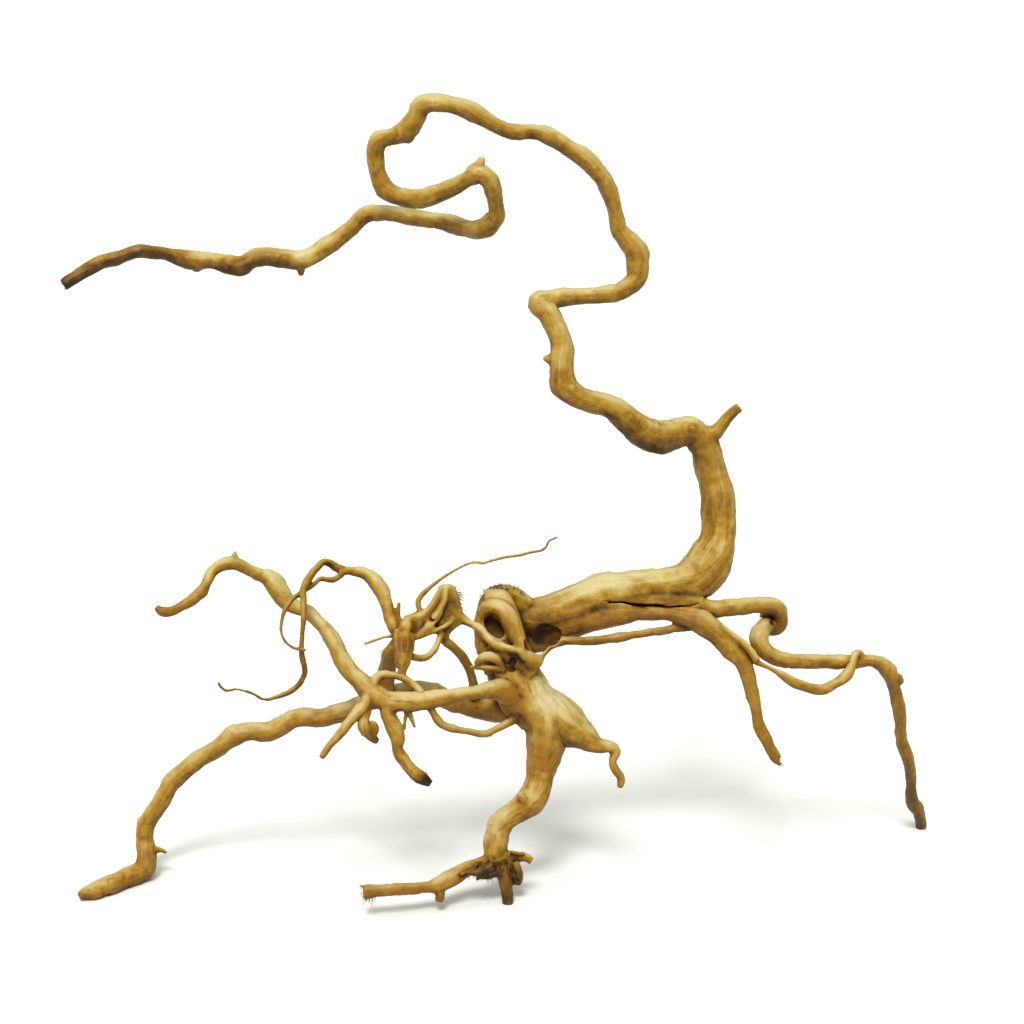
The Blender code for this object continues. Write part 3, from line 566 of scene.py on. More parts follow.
def apply_modifier(piece, kind, **settings):
    """Adds a modifier with these settings and turns it into mesh."""
    select_only([piece])
    modifier = piece.modifiers.new(kind.lower(), kind)
    for name, value in settings.items():
        setattr(modifier, name, value)
    bpy.ops.object.modifier_apply(modifier=modifier.name)


def fused(name, pieces, voxel, passes):
    """One closed skin round all the pieces, with its creases rounded."""
    select_only(pieces)
    bpy.ops.object.convert(target="MESH")
    bpy.ops.object.join()
    skin = bpy.context.object
    skin.name = name
    apply_modifier(skin, "REMESH", mode="VOXEL", voxel_size=voxel)
    apply_modifier(skin, "SMOOTH", factor=ROUNDING, iterations=passes)
    print(name, "has", len(skin.data.polygons), "faces")
    return skin


wood = fused("driftwood_skin", bars, SKIN_VOXEL, SKIN_PASSES)

# %% [markdown]
# ## Hollows and the long split
# Rot has eaten a deep hollow under the crown, an oval one inside the loop of root, and a few small
# ones. The trunk has split along its grain while drying. All of these are cut out with Booleans. The
# cutters are bars and a thin wedge, drawn on the same sheet, and the MANIFOLD solver is used because
# the skin has hundreds of thousands of faces.

# %% Cut the hollows and the split
CROWN_HOLLOW = [
    [(535, 643, -36, 9.5), (536, 643, -18, 12.5), (540, 641, -4, 13), (545, 638, 8, 10)],
    [(538, 634, -30, 7), (541, 634, -18, 10), (546, 633, -2, 10.5)],
    [(528, 645, -36, 6), (530, 644, -16, 9), (534, 642, -2, 10)],
    [(548, 637, -36, 7), (551, 636, -16, 10), (555, 634, 0, 8)],
    [(560, 638, -26, 5), (570, 636, -21, 3.6), (586, 633, -18, 1.8)],
]
OVAL_HOLLOW = [
    [(494, 627, -40, 8.5), (494, 627, -8, 8)],
    [(490, 622, -40, 7), (490, 622, -9, 6.5)],
    [(499, 633, -40, 6.5), (499, 633, -9, 6)],
]
FRONT_HOLLOWS = [
    [(388, 710, -68, 2.6), (394, 712, -66, 3.4), (399, 716, -66, 3), (404, 719, -64, 2)],
    [(512, 659, -40, 4.6), (513, 661, -24, 4.2)],
    [(507, 667, -40, 4.4), (510, 669, -24, 3.8), (516, 671, -24, 3)],
    [(404, 632, -43, 2), (404, 638, -46, 3), (405, 646, -50, 3.4), (404, 655, -53, 2.2)],
    [(420, 624, -42, 2), (424, 621, -38, 3.2), (430, 619, -34, 3.4), (434, 619, -28, 2)],
    [(448, 606, -36, 2), (443, 614, -36, 3), (437, 621, -38, 2.8), (431, 627, -40, 2)],
    [(775, 620, 8, 4), (770, 624, 28, 3.6)],
    [(481, 664, -38, 2.2), (484, 664, -28, 2)],
    [(519, 716, -40, 3.2), (519, 717, -20, 3), (516, 722, -20, 2)],
    [(222, 266, 0, 3), (228, 269, 2, 4), (236, 272, 6, 2.6)],
    [(481, 867, -34, 2.6), (484, 868, -18, 2)],
    [(506, 866, -30, 2.4), (506, 867, -10, 2)],
]
HOLLOWS = [*CROWN_HOLLOW, *OVAL_HOLLOW, *FRONT_HOLLOWS]
TRUNK_SPLIT = [
    (603, 601), (612, 602.5), (622, 602), (633, 604.5), (645, 606), (656, 605.6), (668, 607), (680, 606.6),
    (690, 606), (699, 603.4),
]
SPLIT_WIDTH = 3.2
SPLIT_FRONT = -30
SPLIT_BACK = 6
CUTTER_PASSES = 1
HOLLOW_RIM_PASSES = 6
SPLIT_RIM_PASSES = 1
# The cutters are no limbs, so the notes that they leave are dropped again.
notes_of_limbs = len(skeleton)
bars.clear()
grow_all(HOLLOWS)
hollows = fused("hollows", bars, 2 * SKIN_VOXEL, CUTTER_PASSES)
del skeleton[notes_of_limbs:]


def split_cutter():
    """A thin wedge that follows the grain and closes towards its two ends."""
    count = len(TRUNK_SPLIT)
    half = [SPLIT_WIDTH / 2 * math.sin(math.pi * (i + 0.5) / count) for i in range(count)]
    upper = [(x, y - h) for (x, y), h in zip(TRUNK_SPLIT, half)]
    lower = [(x, y + h) for (x, y), h in zip(TRUNK_SPLIT, half)]
    outline = [*lower, *reversed(upper)]
    front = [on_sheet(x, y, SPLIT_FRONT)[0] for x, y in outline]
    back = [on_sheet(x, y, SPLIT_BACK)[0] for x, y in outline]
    return slab("split", front, back)


def cut_away(cutter, passes):
    """Cuts the shape out of the wood and rounds the rim."""
    apply_modifier(wood, "BOOLEAN", operation="DIFFERENCE", object=cutter, solver="MANIFOLD")
    bpy.data.objects.remove(cutter)
    apply_modifier(wood, "SMOOTH", factor=ROUNDING, iterations=passes)


cut_away(hollows, HOLLOW_RIM_PASSES)
cut_away(split_cutter(), SPLIT_RIM_PASSES)
print("after the cuts:", len(wood.data.polygons), "faces")

# %% [markdown]
# ## Where each point of the skin lies on its limb
# Wood grain runs along a limb and wraps round it. So every point of the skin is given a place in its
# own limb: how far along, and how far to each side of the middle line. The side directions turn
# slowly with the length, which gives the spiral that dry roots show. Thick and thin limbs meet, so
# the limb chosen is the one whose surface, and not whose middle, is nearest.

# %% Find the limb under each point
CHUNK = 512  # places compared at once, to save memory
LEAST_REACH = 1e-6
notes = np.array(skeleton)
middles, radii, headings = notes[:, 0:3], notes[:, 3], notes[:, 4:7]
sides, thirds, lengths, tones, warmths, limb_numbers = (
    notes[:, 7:10], notes[:, 10:13], notes[:, 13], notes[:, 14], notes[:, 15], notes[:, 16]
)


def places_of(piece):
    """Where the points of the mesh are."""
    places = np.empty(len(piece.data.vertices) * 3, np.float32)
    piece.data.vertices.foreach_get("co", places)
    return places.reshape(-1, 3).astype(float)


def put_places(piece, places):
    """Moves the points of the mesh there."""
    piece.data.vertices.foreach_set("co", places.astype(np.float32).ravel())
    piece.data.update()


def nearest_limb(places):
    """For each place, the row of notes whose surface is nearest, and how much further the next limb is."""
    rows = np.empty(len(places), int)
    margin = np.empty(len(places))
    from_middle = middles.astype(np.float32)
    drawn = radii.astype(np.float32)
    lengths_squared = (from_middle**2).sum(1)
    first_rows = np.flatnonzero(np.diff(limb_numbers, prepend=-1))
    for start in range(0, len(places), CHUNK):
        some = places[start:start + CHUNK].astype(np.float32)
        squared = (some**2).sum(1)[:, None] + lengths_squared - 2 * some @ from_middle.T
        gap = np.sqrt(np.maximum(squared, 0)) - drawn
        rows[start:start + CHUNK] = gap.argmin(1)
        nearest_two = np.partition(np.minimum.reduceat(gap, first_rows, axis=1), 1, axis=1)[:, :2]
        margin[start:start + CHUNK] = nearest_two[:, 1] - nearest_two[:, 0]
    return rows, margin


def on_limb(places):
    """The row, the margin, the place in the grain and the outward direction of each place."""
    rows, margin = nearest_limb(places)
    offset = places - middles[rows]
    ahead = (offset * headings[rows]).sum(1)
    grain = np.stack([
        lengths[rows] + ahead + limb_numbers[rows],
        (offset * sides[rows]).sum(1),
        (offset * thirds[rows]).sum(1),
    ], axis=1)
    out = offset - ahead[:, None] * headings[rows]
    reach = np.linalg.norm(out, axis=1)
    return rows, margin, grain, out / np.maximum(reach, LEAST_REACH)[:, None]


places = places_of(wood)
rows, margin, grain, outward = on_limb(places)
print(len(places), "points on", int(limb_numbers.max()) + 1, "limbs")

# %% [markdown]
# ## Relief
# What makes a weathered root look old is relief of several sizes: slow swellings, ropes of grain
# that run along the limb, tight wrinkles where it bends, rings round knots, and pits. They are moved
# into the mesh, because a bump in the material would leave the outline as smooth as pipe. One
# noise function serves for all of them; it gives a value to each corner of a grid of cells and eases
# between them, for all points at once.

# %% Make the noise
# Large odd numbers scramble a corner's place in the grid into a value that shows no pattern.
SCRAMBLE_PLACE = (73856093, 19349663, 83492791)
SCRAMBLE_SEED = 2654435761
SCRAMBLE_AGAIN = 1274126177
LOW_31_BITS, LOW_16_BITS = 0x7FFFFFFF, 0xFFFF


def noise(places, seed=0):
    """Smooth noise from -1 to 1, with cells of size 1."""
    cell = np.floor(places).astype(np.int64)
    inside = places - cell
    eased_in = inside * inside * (3 - 2 * inside)
    total = np.zeros(len(places))
    for corner in product((0, 1), repeat=3):
        across, down, back = ((cell + corner) * SCRAMBLE_PLACE).T
        mixed = across ^ down ^ back ^ (seed + 1) * SCRAMBLE_SEED
        mixed = (mixed ^ (mixed >> 13)) * SCRAMBLE_AGAIN & LOW_31_BITS
        value = ((mixed ^ (mixed >> 16)) & LOW_16_BITS) / (LOW_16_BITS / 2) - 1
        share = np.prod(np.where(corner, eased_in, 1 - eased_in), axis=1)
        total += value * share
    return total


def near(places, spot, reach):
    """1 at the drawn spot, fading to 0 over the reach, which is in squares."""
    away = np.linalg.norm(places - np.array(on_sheet(*spot)[0]), axis=1)
    return np.exp(-(away / (reach * SQUARE))**2)


def strongest(places, spots):
    """At each place, the most that any of the drawn spots gives there."""
    share = np.zeros(len(places))
    for spot, reach, strength in spots:
        share = np.maximum(share, strength * near(places, spot, reach))
    return share


SAMPLE_CELL = 0.01
sample = noise(places / SAMPLE_CELL)
print("noise spans", sample.min().round(2), "to", sample.max().round(2))

# %% Raise swellings, bumps and ropes of grain
SEAM_WIDTH = 0.0015
THIN_LIMB = 0.006
SWELLINGS = [
    # width, height
    (0.016, 0.0009), (0.0075, 0.0007), (0.0036, 0.00032), (0.0018, 0.00012),
]
ROPE_LENGTH, ROPE_WIDTH, ROPE_HEIGHT = 0.026, 0.0034, 0.00045
CREASE_LENGTH, CREASE_WIDTH, CREASE_DEPTH = 0.03, 0.0042, 0.0005
CREASE_SHARE, CREASE_PATCH, PATCH_CONTRAST = 0.09, 0.014, 2.5
ROPE_SEED, CREASE_SEED, PATCH_SEED = 12, 13, 14
thickness = np.minimum(radii[rows] / THIN_LIMB, 1)
inside_limb = np.clip(margin / SEAM_WIDTH, 0, 1) * thickness
relief = np.zeros(len(places))
for seed, (width, height) in enumerate(SWELLINGS):
    relief += noise(places / width, seed) * height * np.minimum(radii[rows] / (0.5 * width), 1)
ropes = noise(grain / (ROPE_LENGTH, ROPE_WIDTH, ROPE_WIDTH), ROPE_SEED)
relief += (0.5 - np.abs(ropes)) * ROPE_HEIGHT * inside_limb
lines = noise(grain / (CREASE_LENGTH, CREASE_WIDTH, CREASE_WIDTH), CREASE_SEED)
here_and_there = np.clip(noise(places / CREASE_PATCH, PATCH_SEED) * PATCH_CONTRAST, 0, 1)
relief -= np.clip(1 - np.abs(lines) / CREASE_SHARE, 0, 1) * here_and_there * CREASE_DEPTH * inside_limb
print("relief from", round(relief.min() * 1000, 2), "to", round(relief.max() * 1000, 2), "mm")

# %% [markdown]
# Where a root bends sharply its inner side is pressed into folds across the grain, like the inside
# of an elbow. The folds could be cut one by one, but noise that is short along the grain and wide
# across it folds as unevenly as real wood does. A list says where the bends are.

# %% Fold the bends
WRINKLE_SPOTS = [
    # (across, down, back), reach, strength
    ((692, 556, 0), 26, 0.8), ((665, 432, 0), 32, 1.0), ((640, 425, -26), 20, 0.8),
    ((600, 405, -28), 18, 0.5), ((620, 218, 0), 18, 0.9), ((637, 265, 0), 20, 0.6),
    ((545, 306, -20), 16, 0.6), ((492, 222, -30), 16, 0.8), ((484, 178, -50), 16, 0.7),
    ((380, 150, -14), 16, 0.7), ((430, 104, -38), 18, 0.6), ((592, 165, -13), 16, 0.5),
    ((778, 614, 24), 18, 0.7), ((760, 640, 14), 16, 0.6), ((884, 668, 56), 14, 0.7),
    ((543, 760, -14), 22, 0.5), ((498, 826, -10), 18, 0.6), ((147, 835, 50), 16, 0.7),
    ((235, 738, 30), 18, 0.5), ((370, 692, -54), 18, 0.6), ((240, 266, 20), 16, 0.6),
    ((300, 260, 28), 16, 0.5), ((718, 470, 0), 20, 0.4), ((562, 385, -36), 16, 0.7),
]
WRINKLE_SPACING, WRINKLE_WIDTH, WRINKLE_HEIGHT, WRINKLE_SEED = 0.0019, 0.007, 0.0006, 4
CLEARLY_FOLDED = 0.3
folds = noise(grain / (WRINKLE_SPACING, WRINKLE_WIDTH, WRINKLE_WIDTH), WRINKLE_SEED)
bending = strongest(places, WRINKLE_SPOTS)
relief += bending * folds * WRINKLE_HEIGHT * inside_limb
print("folded points:", int((bending > CLEARLY_FOLDED).sum()))

# %% [markdown]
# A knot is where a side root once left. The grain flows round it in rings, with a dent or a small
# boss in the middle. A cosine of the distance makes such rings and fades with it.

# %% Set the knots
KNOTS = [
    # (across, down, back), reach, depth of the dent, or of the boss where it is negative
    ((634, 428, -38), 10, 0.0013), ((696, 428, -14), 8, 0.0012), ((597, 616, -12), 8, 0.0008),
    ((572, 388, -48), 7, 0.0007), ((641, 262, -6), 7, 0.0004), ((524, 690, -26), 9, 0.0006),
    ((546, 690, -24), 8, -0.0005), ((880, 664, 50), 6, 0.0006),
]
KNOT_RINGS = 2.4
KNOT_STRENGTH = 0.5
FAINTEST = 1e-9
for spot, reach, depth in KNOTS:
    fade = near(places, spot, reach)
    distance = np.sqrt(-np.log(np.maximum(fade, FAINTEST)))
    relief -= KNOT_STRENGTH * depth * np.cos(KNOT_RINGS * np.pi * distance) * fade
print(len(KNOTS), "knots set")

# %% [markdown]
# Pits are where grit or insects have eaten in, mostly low down near the ground. They are the peaks of
# a fine noise, pressed in where the list says. Then all the relief is moved into the skin at once.

# %% Eat the pits in and raise the relief
PIT_SPOTS = [
    # (across, down, back), reach, strength
    ((549, 778, -12), 20, 0.8), ((536, 800, -14), 14, 0.5), ((505, 835, -10), 18, 0.6),
    ((128, 884, 34), 26, 1.0), ((100, 892, 14), 22, 1.0), ((908, 787, 150), 14, 0.8),
    ((500, 870, -6), 16, 0.8), ((410, 891, -38), 34, 0.6), ((225, 266, 14), 12, 0.9),
    ((480, 610, -14), 14, 0.7), ((515, 650, -30), 22, 0.6), ((395, 705, -58), 18, 0.6),
]
PIT_WIDTH, PIT_DEPTH, PIT_THRESHOLD, PIT_SEED = 0.0022, 0.0014, 0.25, 5
pit_field = noise(places / PIT_WIDTH, PIT_SEED)
pitting = strongest(places, PIT_SPOTS)
relief -= np.maximum(pit_field - PIT_THRESHOLD, 0) * pitting * PIT_DEPTH
put_places(wood, places + outward * relief[:, None])
print("relief from", round(relief.min() * 1000, 2), "to", round(relief.max() * 1000, 2), "mm")

# %% [markdown]
# ## Thinning and standing
# The skin is far finer than it needs to be on plain stretches. Decimate takes faces away there
# and keeps them in the relief, where a coarser remesh would blur it. Then the feet are cut flat at
# the floor, so that the wood stands on them.

# %% Thin the skin and cut the feet flat
SKIN_TRIANGLES = 186000
wood.data.calc_loop_triangles()
apply_modifier(wood, "DECIMATE", ratio=SKIN_TRIANGLES / len(wood.data.loop_triangles))
print("thinned to", len(wood.data.polygons), "faces")
select_only([wood])
bpy.ops.object.mode_set(mode="EDIT")
bpy.ops.mesh.select_all(action="SELECT")
bpy.ops.mesh.bisect(plane_co=(0, 0, 0), plane_no=(0, 0, 1), use_fill=True, clear_inner=True)
bpy.ops.object.mode_set(mode="OBJECT")
print("cut to", len(wood.data.polygons), "faces")

# %% [markdown]
# ## One closed skin
# Cutting and thinning can leave a torn edge, an edge that too many faces share, or a sealed bubble
# inside the wood. The corners of bad edges are deleted and their small holes are filled, a few times
# over. Then only the shell that reaches the highest corner is kept, which drops every bubble.

# %% Mend the skin and drop the bubbles inside
MENDING_ROUNDS = 4
bpy.ops.object.mode_set(mode="EDIT")
bpy.ops.mesh.select_mode(type="VERT")
for _ in range(MENDING_ROUNDS):
    bpy.ops.mesh.select_all(action="DESELECT")
    bpy.ops.mesh.select_non_manifold()
    bpy.ops.mesh.delete(type="VERT")
    bpy.ops.mesh.select_non_manifold()
    bpy.ops.mesh.fill_holes(sides=0)
bpy.ops.mesh.select_all(action="DESELECT")
bpy.ops.object.mode_set(mode="OBJECT")
wood.data.vertices[places_of(wood)[:, 2].argmax()].select = True
bpy.ops.object.mode_set(mode="EDIT")
bpy.ops.mesh.select_linked()
bpy.ops.mesh.select_all(action="INVERT")
bpy.ops.mesh.delete(type="VERT")
bpy.ops.object.mode_set(mode="OBJECT")
wood.data.validate()
print("one closed skin of", len(wood.data.polygons), "faces")

# %% [markdown]
# The solid's box is the size that the part states. So the few points that the relief pushed past it
# are brought back by a hair, which nobody sees, and the floor side stays where it was cut.

# %% Keep the skin inside the solid's box
BOX_MARGIN = 0.0001
low = np.array(cad_low) + (BOX_MARGIN, BOX_MARGIN, 0)
high = np.array(cad_high) - BOX_MARGIN
put_places(wood, np.clip(places_of(wood), low, high))
print("wood now has", len(wood.data.polygons), "faces")

# %% [markdown]
# ## What each point carries for the colouring
# The material needs to know where the grain runs, which the limb places give, and how dark and warm
# the wood is, which the limbs and a list of stains give; some spots in that list are painted shade
# in hollows and under limbs, and painted highlights on tops. Shade is also painted into the creases,
# and light onto what faces up. Both are measured against a smoothed copy of the skin: a point that
# lies under the copy is in a crease, and the copy's outward direction tells how far the wood there
# faces up. All this is stored on the mesh as attributes. An image could hold it too, but would need
# unwrapping.

# %% List the stains, and the spots of painted light and shade
STAINS_AND_PAINTED_LIGHT = [
    # (across, down, back), reach, tone, warmth
    ((64, 285, -21), 12, 1.6, -0.3), ((84, 272, -15), 26, 0.95, 0.1), ((120, 257, -5), 30, 0.85, 0.1),
    ((150, 251, 2), 26, 0.9, 0.2), ((182, 260, 10), 24, 0.8, 0.3), ((226, 270, 10), 10, 1.2, 0.2),
    ((245, 272, 20), 16, 0.6, 0.2), ((205, 254, 10), 12, -0.4, 0.0), ((270, 262, 26), 26, 0.8, 0.1),
    ((305, 254, 24), 12, -0.8, -0.3), ((322, 252, 34), 10, 0.6, 0.2), ((355, 232, 38), 22, 0.25, 0.2),
    ((648, 448, -14), 26, 1.0, 0.2), ((632, 424, -30), 10, 0.6, 0.3), ((697, 428, -14), 9, 0.6, 0.3),
    ((690, 444, -2), 16, 0.5, 0.2), ((560, 392, -36), 16, 0.4, 0.2),
    ((490, 234, -16), 16, 0.35, 0.2), ((446, 230, 8), 12, 0.5, 0.2), ((628, 296, 4), 14, 0.4, 0.2),
    ((395, 204, -12), 20, 0.5, 0.1), ((500, 140, -28), 22, 0.4, 0.1), ((384, 188, -10), 10, 0.4, 0.1),
    # The pale spots on the hip at (545, 690) and (556, 704), and on the top of the trunk at (620, 566) and
    # (590, 585), are painted highlights.
    ((488, 656, -36), 9, -0.7, 0.7), ((514, 697, -26), 20, 0.4, 0.6), ((545, 690, -22), 15, -0.9, -0.6),
    ((556, 704, -22), 18, -0.7, -0.4), ((620, 566, -6), 28, -0.5, -0.3), ((590, 585, -10), 20, -0.3, -0.2),
    # The dark spots along the underside of the trunk, from (545, 618) to (680, 612), are painted shade, and
    # so are the dark spots in the hollows at (543, 638), (512, 662), (520, 718) and (494, 624).
    ((545, 618, -10), 26, 0.55, 0.2), ((590, 630, -6), 28, 0.6, 0.3), ((640, 620, -4), 30, 0.5, 0.3),
    ((680, 612, 0), 24, 0.4, 0.2), ((543, 638, -2), 13, 1.9, 0.1), ((512, 662, -26), 10, 1.6, 0.1),
    ((504, 690, -27), 12, 0.2, 0.4), ((520, 718, -22), 9, 1.0, 0.0),
    ((494, 624, -12), 9, 0.5, 0.1), ((180, 606, -54), 30, 0.7, 0.3), ((156, 609, -60), 10, 0.8, 0.0),
    ((427, 781, -56), 11, 2.4, -0.8), ((400, 752, -56), 18, 0.4, 0.2), ((388, 665, 2), 26, 0.4, 0.8),
    ((495, 590, -6), 13, 0.7, 0.0), ((510, 590, 0), 13, 0.6, 0.0), ((484, 600, -10), 9, 0.5, 0.0),
    ((125, 884, 34), 28, 0.5, 0.4), ((84, 895, 4), 12, 0.7, 0.2), ((147, 858, 52), 14, 0.4, 0.3),
    ((911, 790, 150), 28, 0.8, 0.1), ((921, 826, 188), 14, 0.8, 0.0), ((893, 690, 72), 16, 0.3, 0.3),
    ((778, 760, 12), 16, 0.6, 0.2), ((760, 728, 12), 20, 0.3, 0.3), ((735, 409, 4), 14, 0.9, -0.4),
    # The dark spot on the peg under the front leg, at (508, 899), is painted shadow.
    ((508, 899, 0), 14, 1.6, -0.5), ((500, 880, -6), 18, 0.7, 0.2), ((482, 872, -18), 16, 0.7, 0.0),
    ((455, 603, -24), 9, 0.7, -0.2), ((552, 540, -16), 20, 0.5, -0.3), ((430, 590, -26), 14, 0.3, -0.2),
    ((366, 892, -44), 12, 0.6, 0.1), ((400, 889, -40), 20, 0.3, 0.5), ((616, 780, -2), 16, 0.4, 0.4),
    ((324, 752, -80), 16, 0.6, 0.1), ((372, 738, -58), 12, 0.6, 0.0), ((398, 606, -28), 10, 0.7, -0.2),
    # The dark spots in the hollows at (404, 645) and (442, 616) and in the curl at (768, 622) are painted
    # shade, as are those on the back limb under the front arm at (480, 712) and (440, 700).
    ((404, 645, -46), 12, 0.9, 0.5), ((442, 616, -30), 9, 0.6, 0.2), ((462, 655, -6), 20, 0.4, 0.6),
    ((768, 622, 26), 11, 0.8, 0.3), ((812, 666, 22), 20, 0.2, 0.2), ((480, 712, 18), 26, 0.5, 0.2),
    ((440, 700, 34), 30, 0.4, 0.2), ((320, 715, 20), 30, 0.15, 0.3), ((545, 765, -10), 20, 0.3, 0.7),
    ((605, 420, -24), 16, 0.3, 0.1), ((590, 616, -12), 8, 0.3, 1.0), ((235, 562, -28), 14, 0.3, 0.2),
]
print(len(STAINS_AND_PAINTED_LIGHT), "stains")

# %% Store grain, tone, warmth, creases and how far each point faces up, for painted light
CREASE_SPAN = 0.0007
SMOOTHER_PASSES = 14
LEAST_AREA = 1e-12


def store(piece, name, values):
    """Puts one number or one vector per point on the mesh."""
    flat = values.astype(np.float32)
    kind = "FLOAT" if flat.ndim == 1 else "FLOAT_VECTOR"
    layer = piece.data.attributes.new(name, kind, "POINT")
    layer.data.foreach_set("value" if flat.ndim == 1 else "vector", flat.ravel())


def smoother(piece, places, passes):
    """The places after each is moved to the mean of its neighbours a number of times."""
    ends = np.empty(len(piece.data.edges) * 2, np.int32)
    piece.data.edges.foreach_get("vertices", ends)
    one, other = ends.reshape(-1, 2).T
    count = np.bincount(one, minlength=len(places)) + np.bincount(other, minlength=len(places))
    for _ in range(passes):
        total = np.stack([
            np.bincount(one, place[other], len(places)) + np.bincount(other, place[one], len(places))
            for place in places.T
        ], axis=1)
        places = total / np.maximum(count, 1)[:, None]
    return places


def facing(piece, places):
    """The outward direction of the surface at each point."""
    piece.data.calc_loop_triangles()
    corners = np.empty(len(piece.data.loop_triangles) * 3, np.int32)
    piece.data.loop_triangles.foreach_get("vertices", corners)
    first, second, third = places[corners.reshape(-1, 3)].transpose(1, 0, 2)
    flat = np.cross(second - first, third - first)
    total = np.stack([np.bincount(corners, np.repeat(part, 3), len(places)) for part in flat.T], axis=1)
    return total / np.maximum(np.linalg.norm(total, axis=1), LEAST_AREA)[:, None]


places = places_of(wood)
rows, _, grain, _ = on_limb(places)
tone, warmth = tones[rows], warmths[rows]
for spot, reach, darker, warmer in STAINS_AND_PAINTED_LIGHT:
    fade = near(places, spot, reach)
    tone, warmth = tone + darker * fade, warmth + warmer * fade
even = smoother(wood, places, SMOOTHER_PASSES)
upright = facing(wood, even)
crease = ((even - places) * upright).sum(1) / CREASE_SPAN
store(wood, "grain", grain)
store(wood, "tone", tone)
store(wood, "warmth", warmth)
store(wood, "crease", np.clip(crease, -1, 1))
# How far each point faces up; the material paints the top faces paler with it, as painted light.
store(wood, "painted_top_light", upright[:, 2])
print("tone from", round(tone.min(), 2), "to", round(tone.max(), 2), "deepest crease", round(crease.max(), 2))

# %% [markdown]
# ## Torn fibres
# Where bark and side roots tore away, dry fibres stand up in short tufts. Each fibre is a thin
# curve that tapers to nothing. A particle system could spread them, but curves placed by a list stay
# where the real tufts are. Every fibre starts at the point of the skin nearest to its drawn place.

# %% Set the tufts of torn fibre
TUFTS = [
    # from, to (across, down, back), leaning (right, up), fibres, length, darkness
    ((480, 598, -14), (484, 589, -10), (-0.7, 0.5), 26, 3.4, 0.9),
    ((484, 589, -10), (503, 585, -8), (0.5, 0.5), 44, 4.0, 1.0),
    ((488, 590, -14), (506, 588, -14), (0.9, 0.15), 40, 5.0, 1.0),
    ((505, 586, -6), (524, 596, -4), (0.5, 0.9), 22, 5.5, 0.9),
    ((453, 587, -24), (458, 598, -24), (0.9, -0.3), 24, 5.0, 0.9),
    ((457, 596, -24), (460, 610, -23), (0.7, -0.8), 22, 5.5, 0.8),
    ((481, 651, -14), (485, 655, -18), (-0.9, 0.2), 14, 5.0, 0.5),
    ((483, 651, -26), (500, 653, -26), (0.2, 0.6), 22, 3.0, 0.9),
    ((503, 652, -40), (516, 656, -36), (0.5, -0.4), 24, 4.5, 1.0),
    ((478, 668, -26), (502, 669, -26), (0.1, -0.8), 26, 2.6, 0.3),
    ((468, 872, -22), (494, 880, -18), (-0.5, -0.7), 60, 4.0, 0.6),
    ((470, 866, -20), (500, 864, -18), (-0.3, -0.4), 40, 4.0, 0.6),
    ((500, 856, -16), (522, 874, -12), (0.3, -0.5), 30, 3.2, 0.7),
    ((364, 896, -44), (374, 898, -44), (-0.1, -0.9), 26, 5.5, 0.4),
    ((362, 885, -44), (363, 894, -44), (-0.9, 0.1), 16, 3.4, 0.5),
    ((421, 773, -58), (430, 784, -57), (0.1, 0.5), 30, 3.4, 1.0),
    ((776, 755, 10), (781, 765, 10), (0.9, -0.4), 20, 3.2, 0.4),
    ((434, 653, -36), (441, 650, -34), (0.2, -0.9), 12, 4.0, 0.5),
    ((395, 655, -50), (410, 662, -48), (0.0, -0.9), 26, 4.2, 0.4),
    ((398, 668, -50), (406, 680, -48), (0.1, -0.9), 18, 4.0, 0.6),
    ((484, 735, -26), (494, 737, -26), (0.1, -0.9), 10, 3.4, 0.1),
    ((735, 406, 2), (742, 409, 2), (0.6, 0.7), 12, 2.4, 0.6),
    ((62, 280, -22), (66, 289, -22), (-0.8, -0.3), 18, 2.0, 1.0),
    ((514, 712, -24), (524, 722, -24), (0.3, -0.5), 20, 3.4, 0.9),
    ((380, 655, -18), (386, 650, -18), (-0.8, -0.3), 10, 3.2, 0.4),
]
FIBRE_SEED = 11
FIBRE_POINTS = 5
FIBRE_RADIUS = 0.00016
FIBRE_ROUNDNESS = 0  # a fibre is too thin to show its sides
FIBRE_SINK = 0.0004
FIBRE_TAPER = 0.8
FIBRE_BEND = 0.35
FIBRE_OUTWARD = 0.5
FIBRE_SPREAD = 0.3
FIBRE_LENGTHS = (0.5, 1.1)
CAP_WELD = 0.000002
box_low = np.array(cad_low) + 2 * FIBRE_RADIUS
box_high = np.array(cad_high) - 2 * FIBRE_RADIUS
wander = np.random.default_rng(FIBRE_SEED)


def add_fibre(data, place, heading, length):
    """One tapering, slightly bent fibre as a spline."""
    spline = data.splines.new("POLY")
    spline.points.add(FIBRE_POINTS - 1)
    bend = wander.normal(0, FIBRE_BEND, 3)
    for index, point in enumerate(spline.points):
        share = index / (FIBRE_POINTS - 1)
        reached = place + length * share * (heading + share * bend)
        point.co = (*np.clip(reached, box_low, box_high), 1)
        point.radius = 1 - FIBRE_TAPER * share


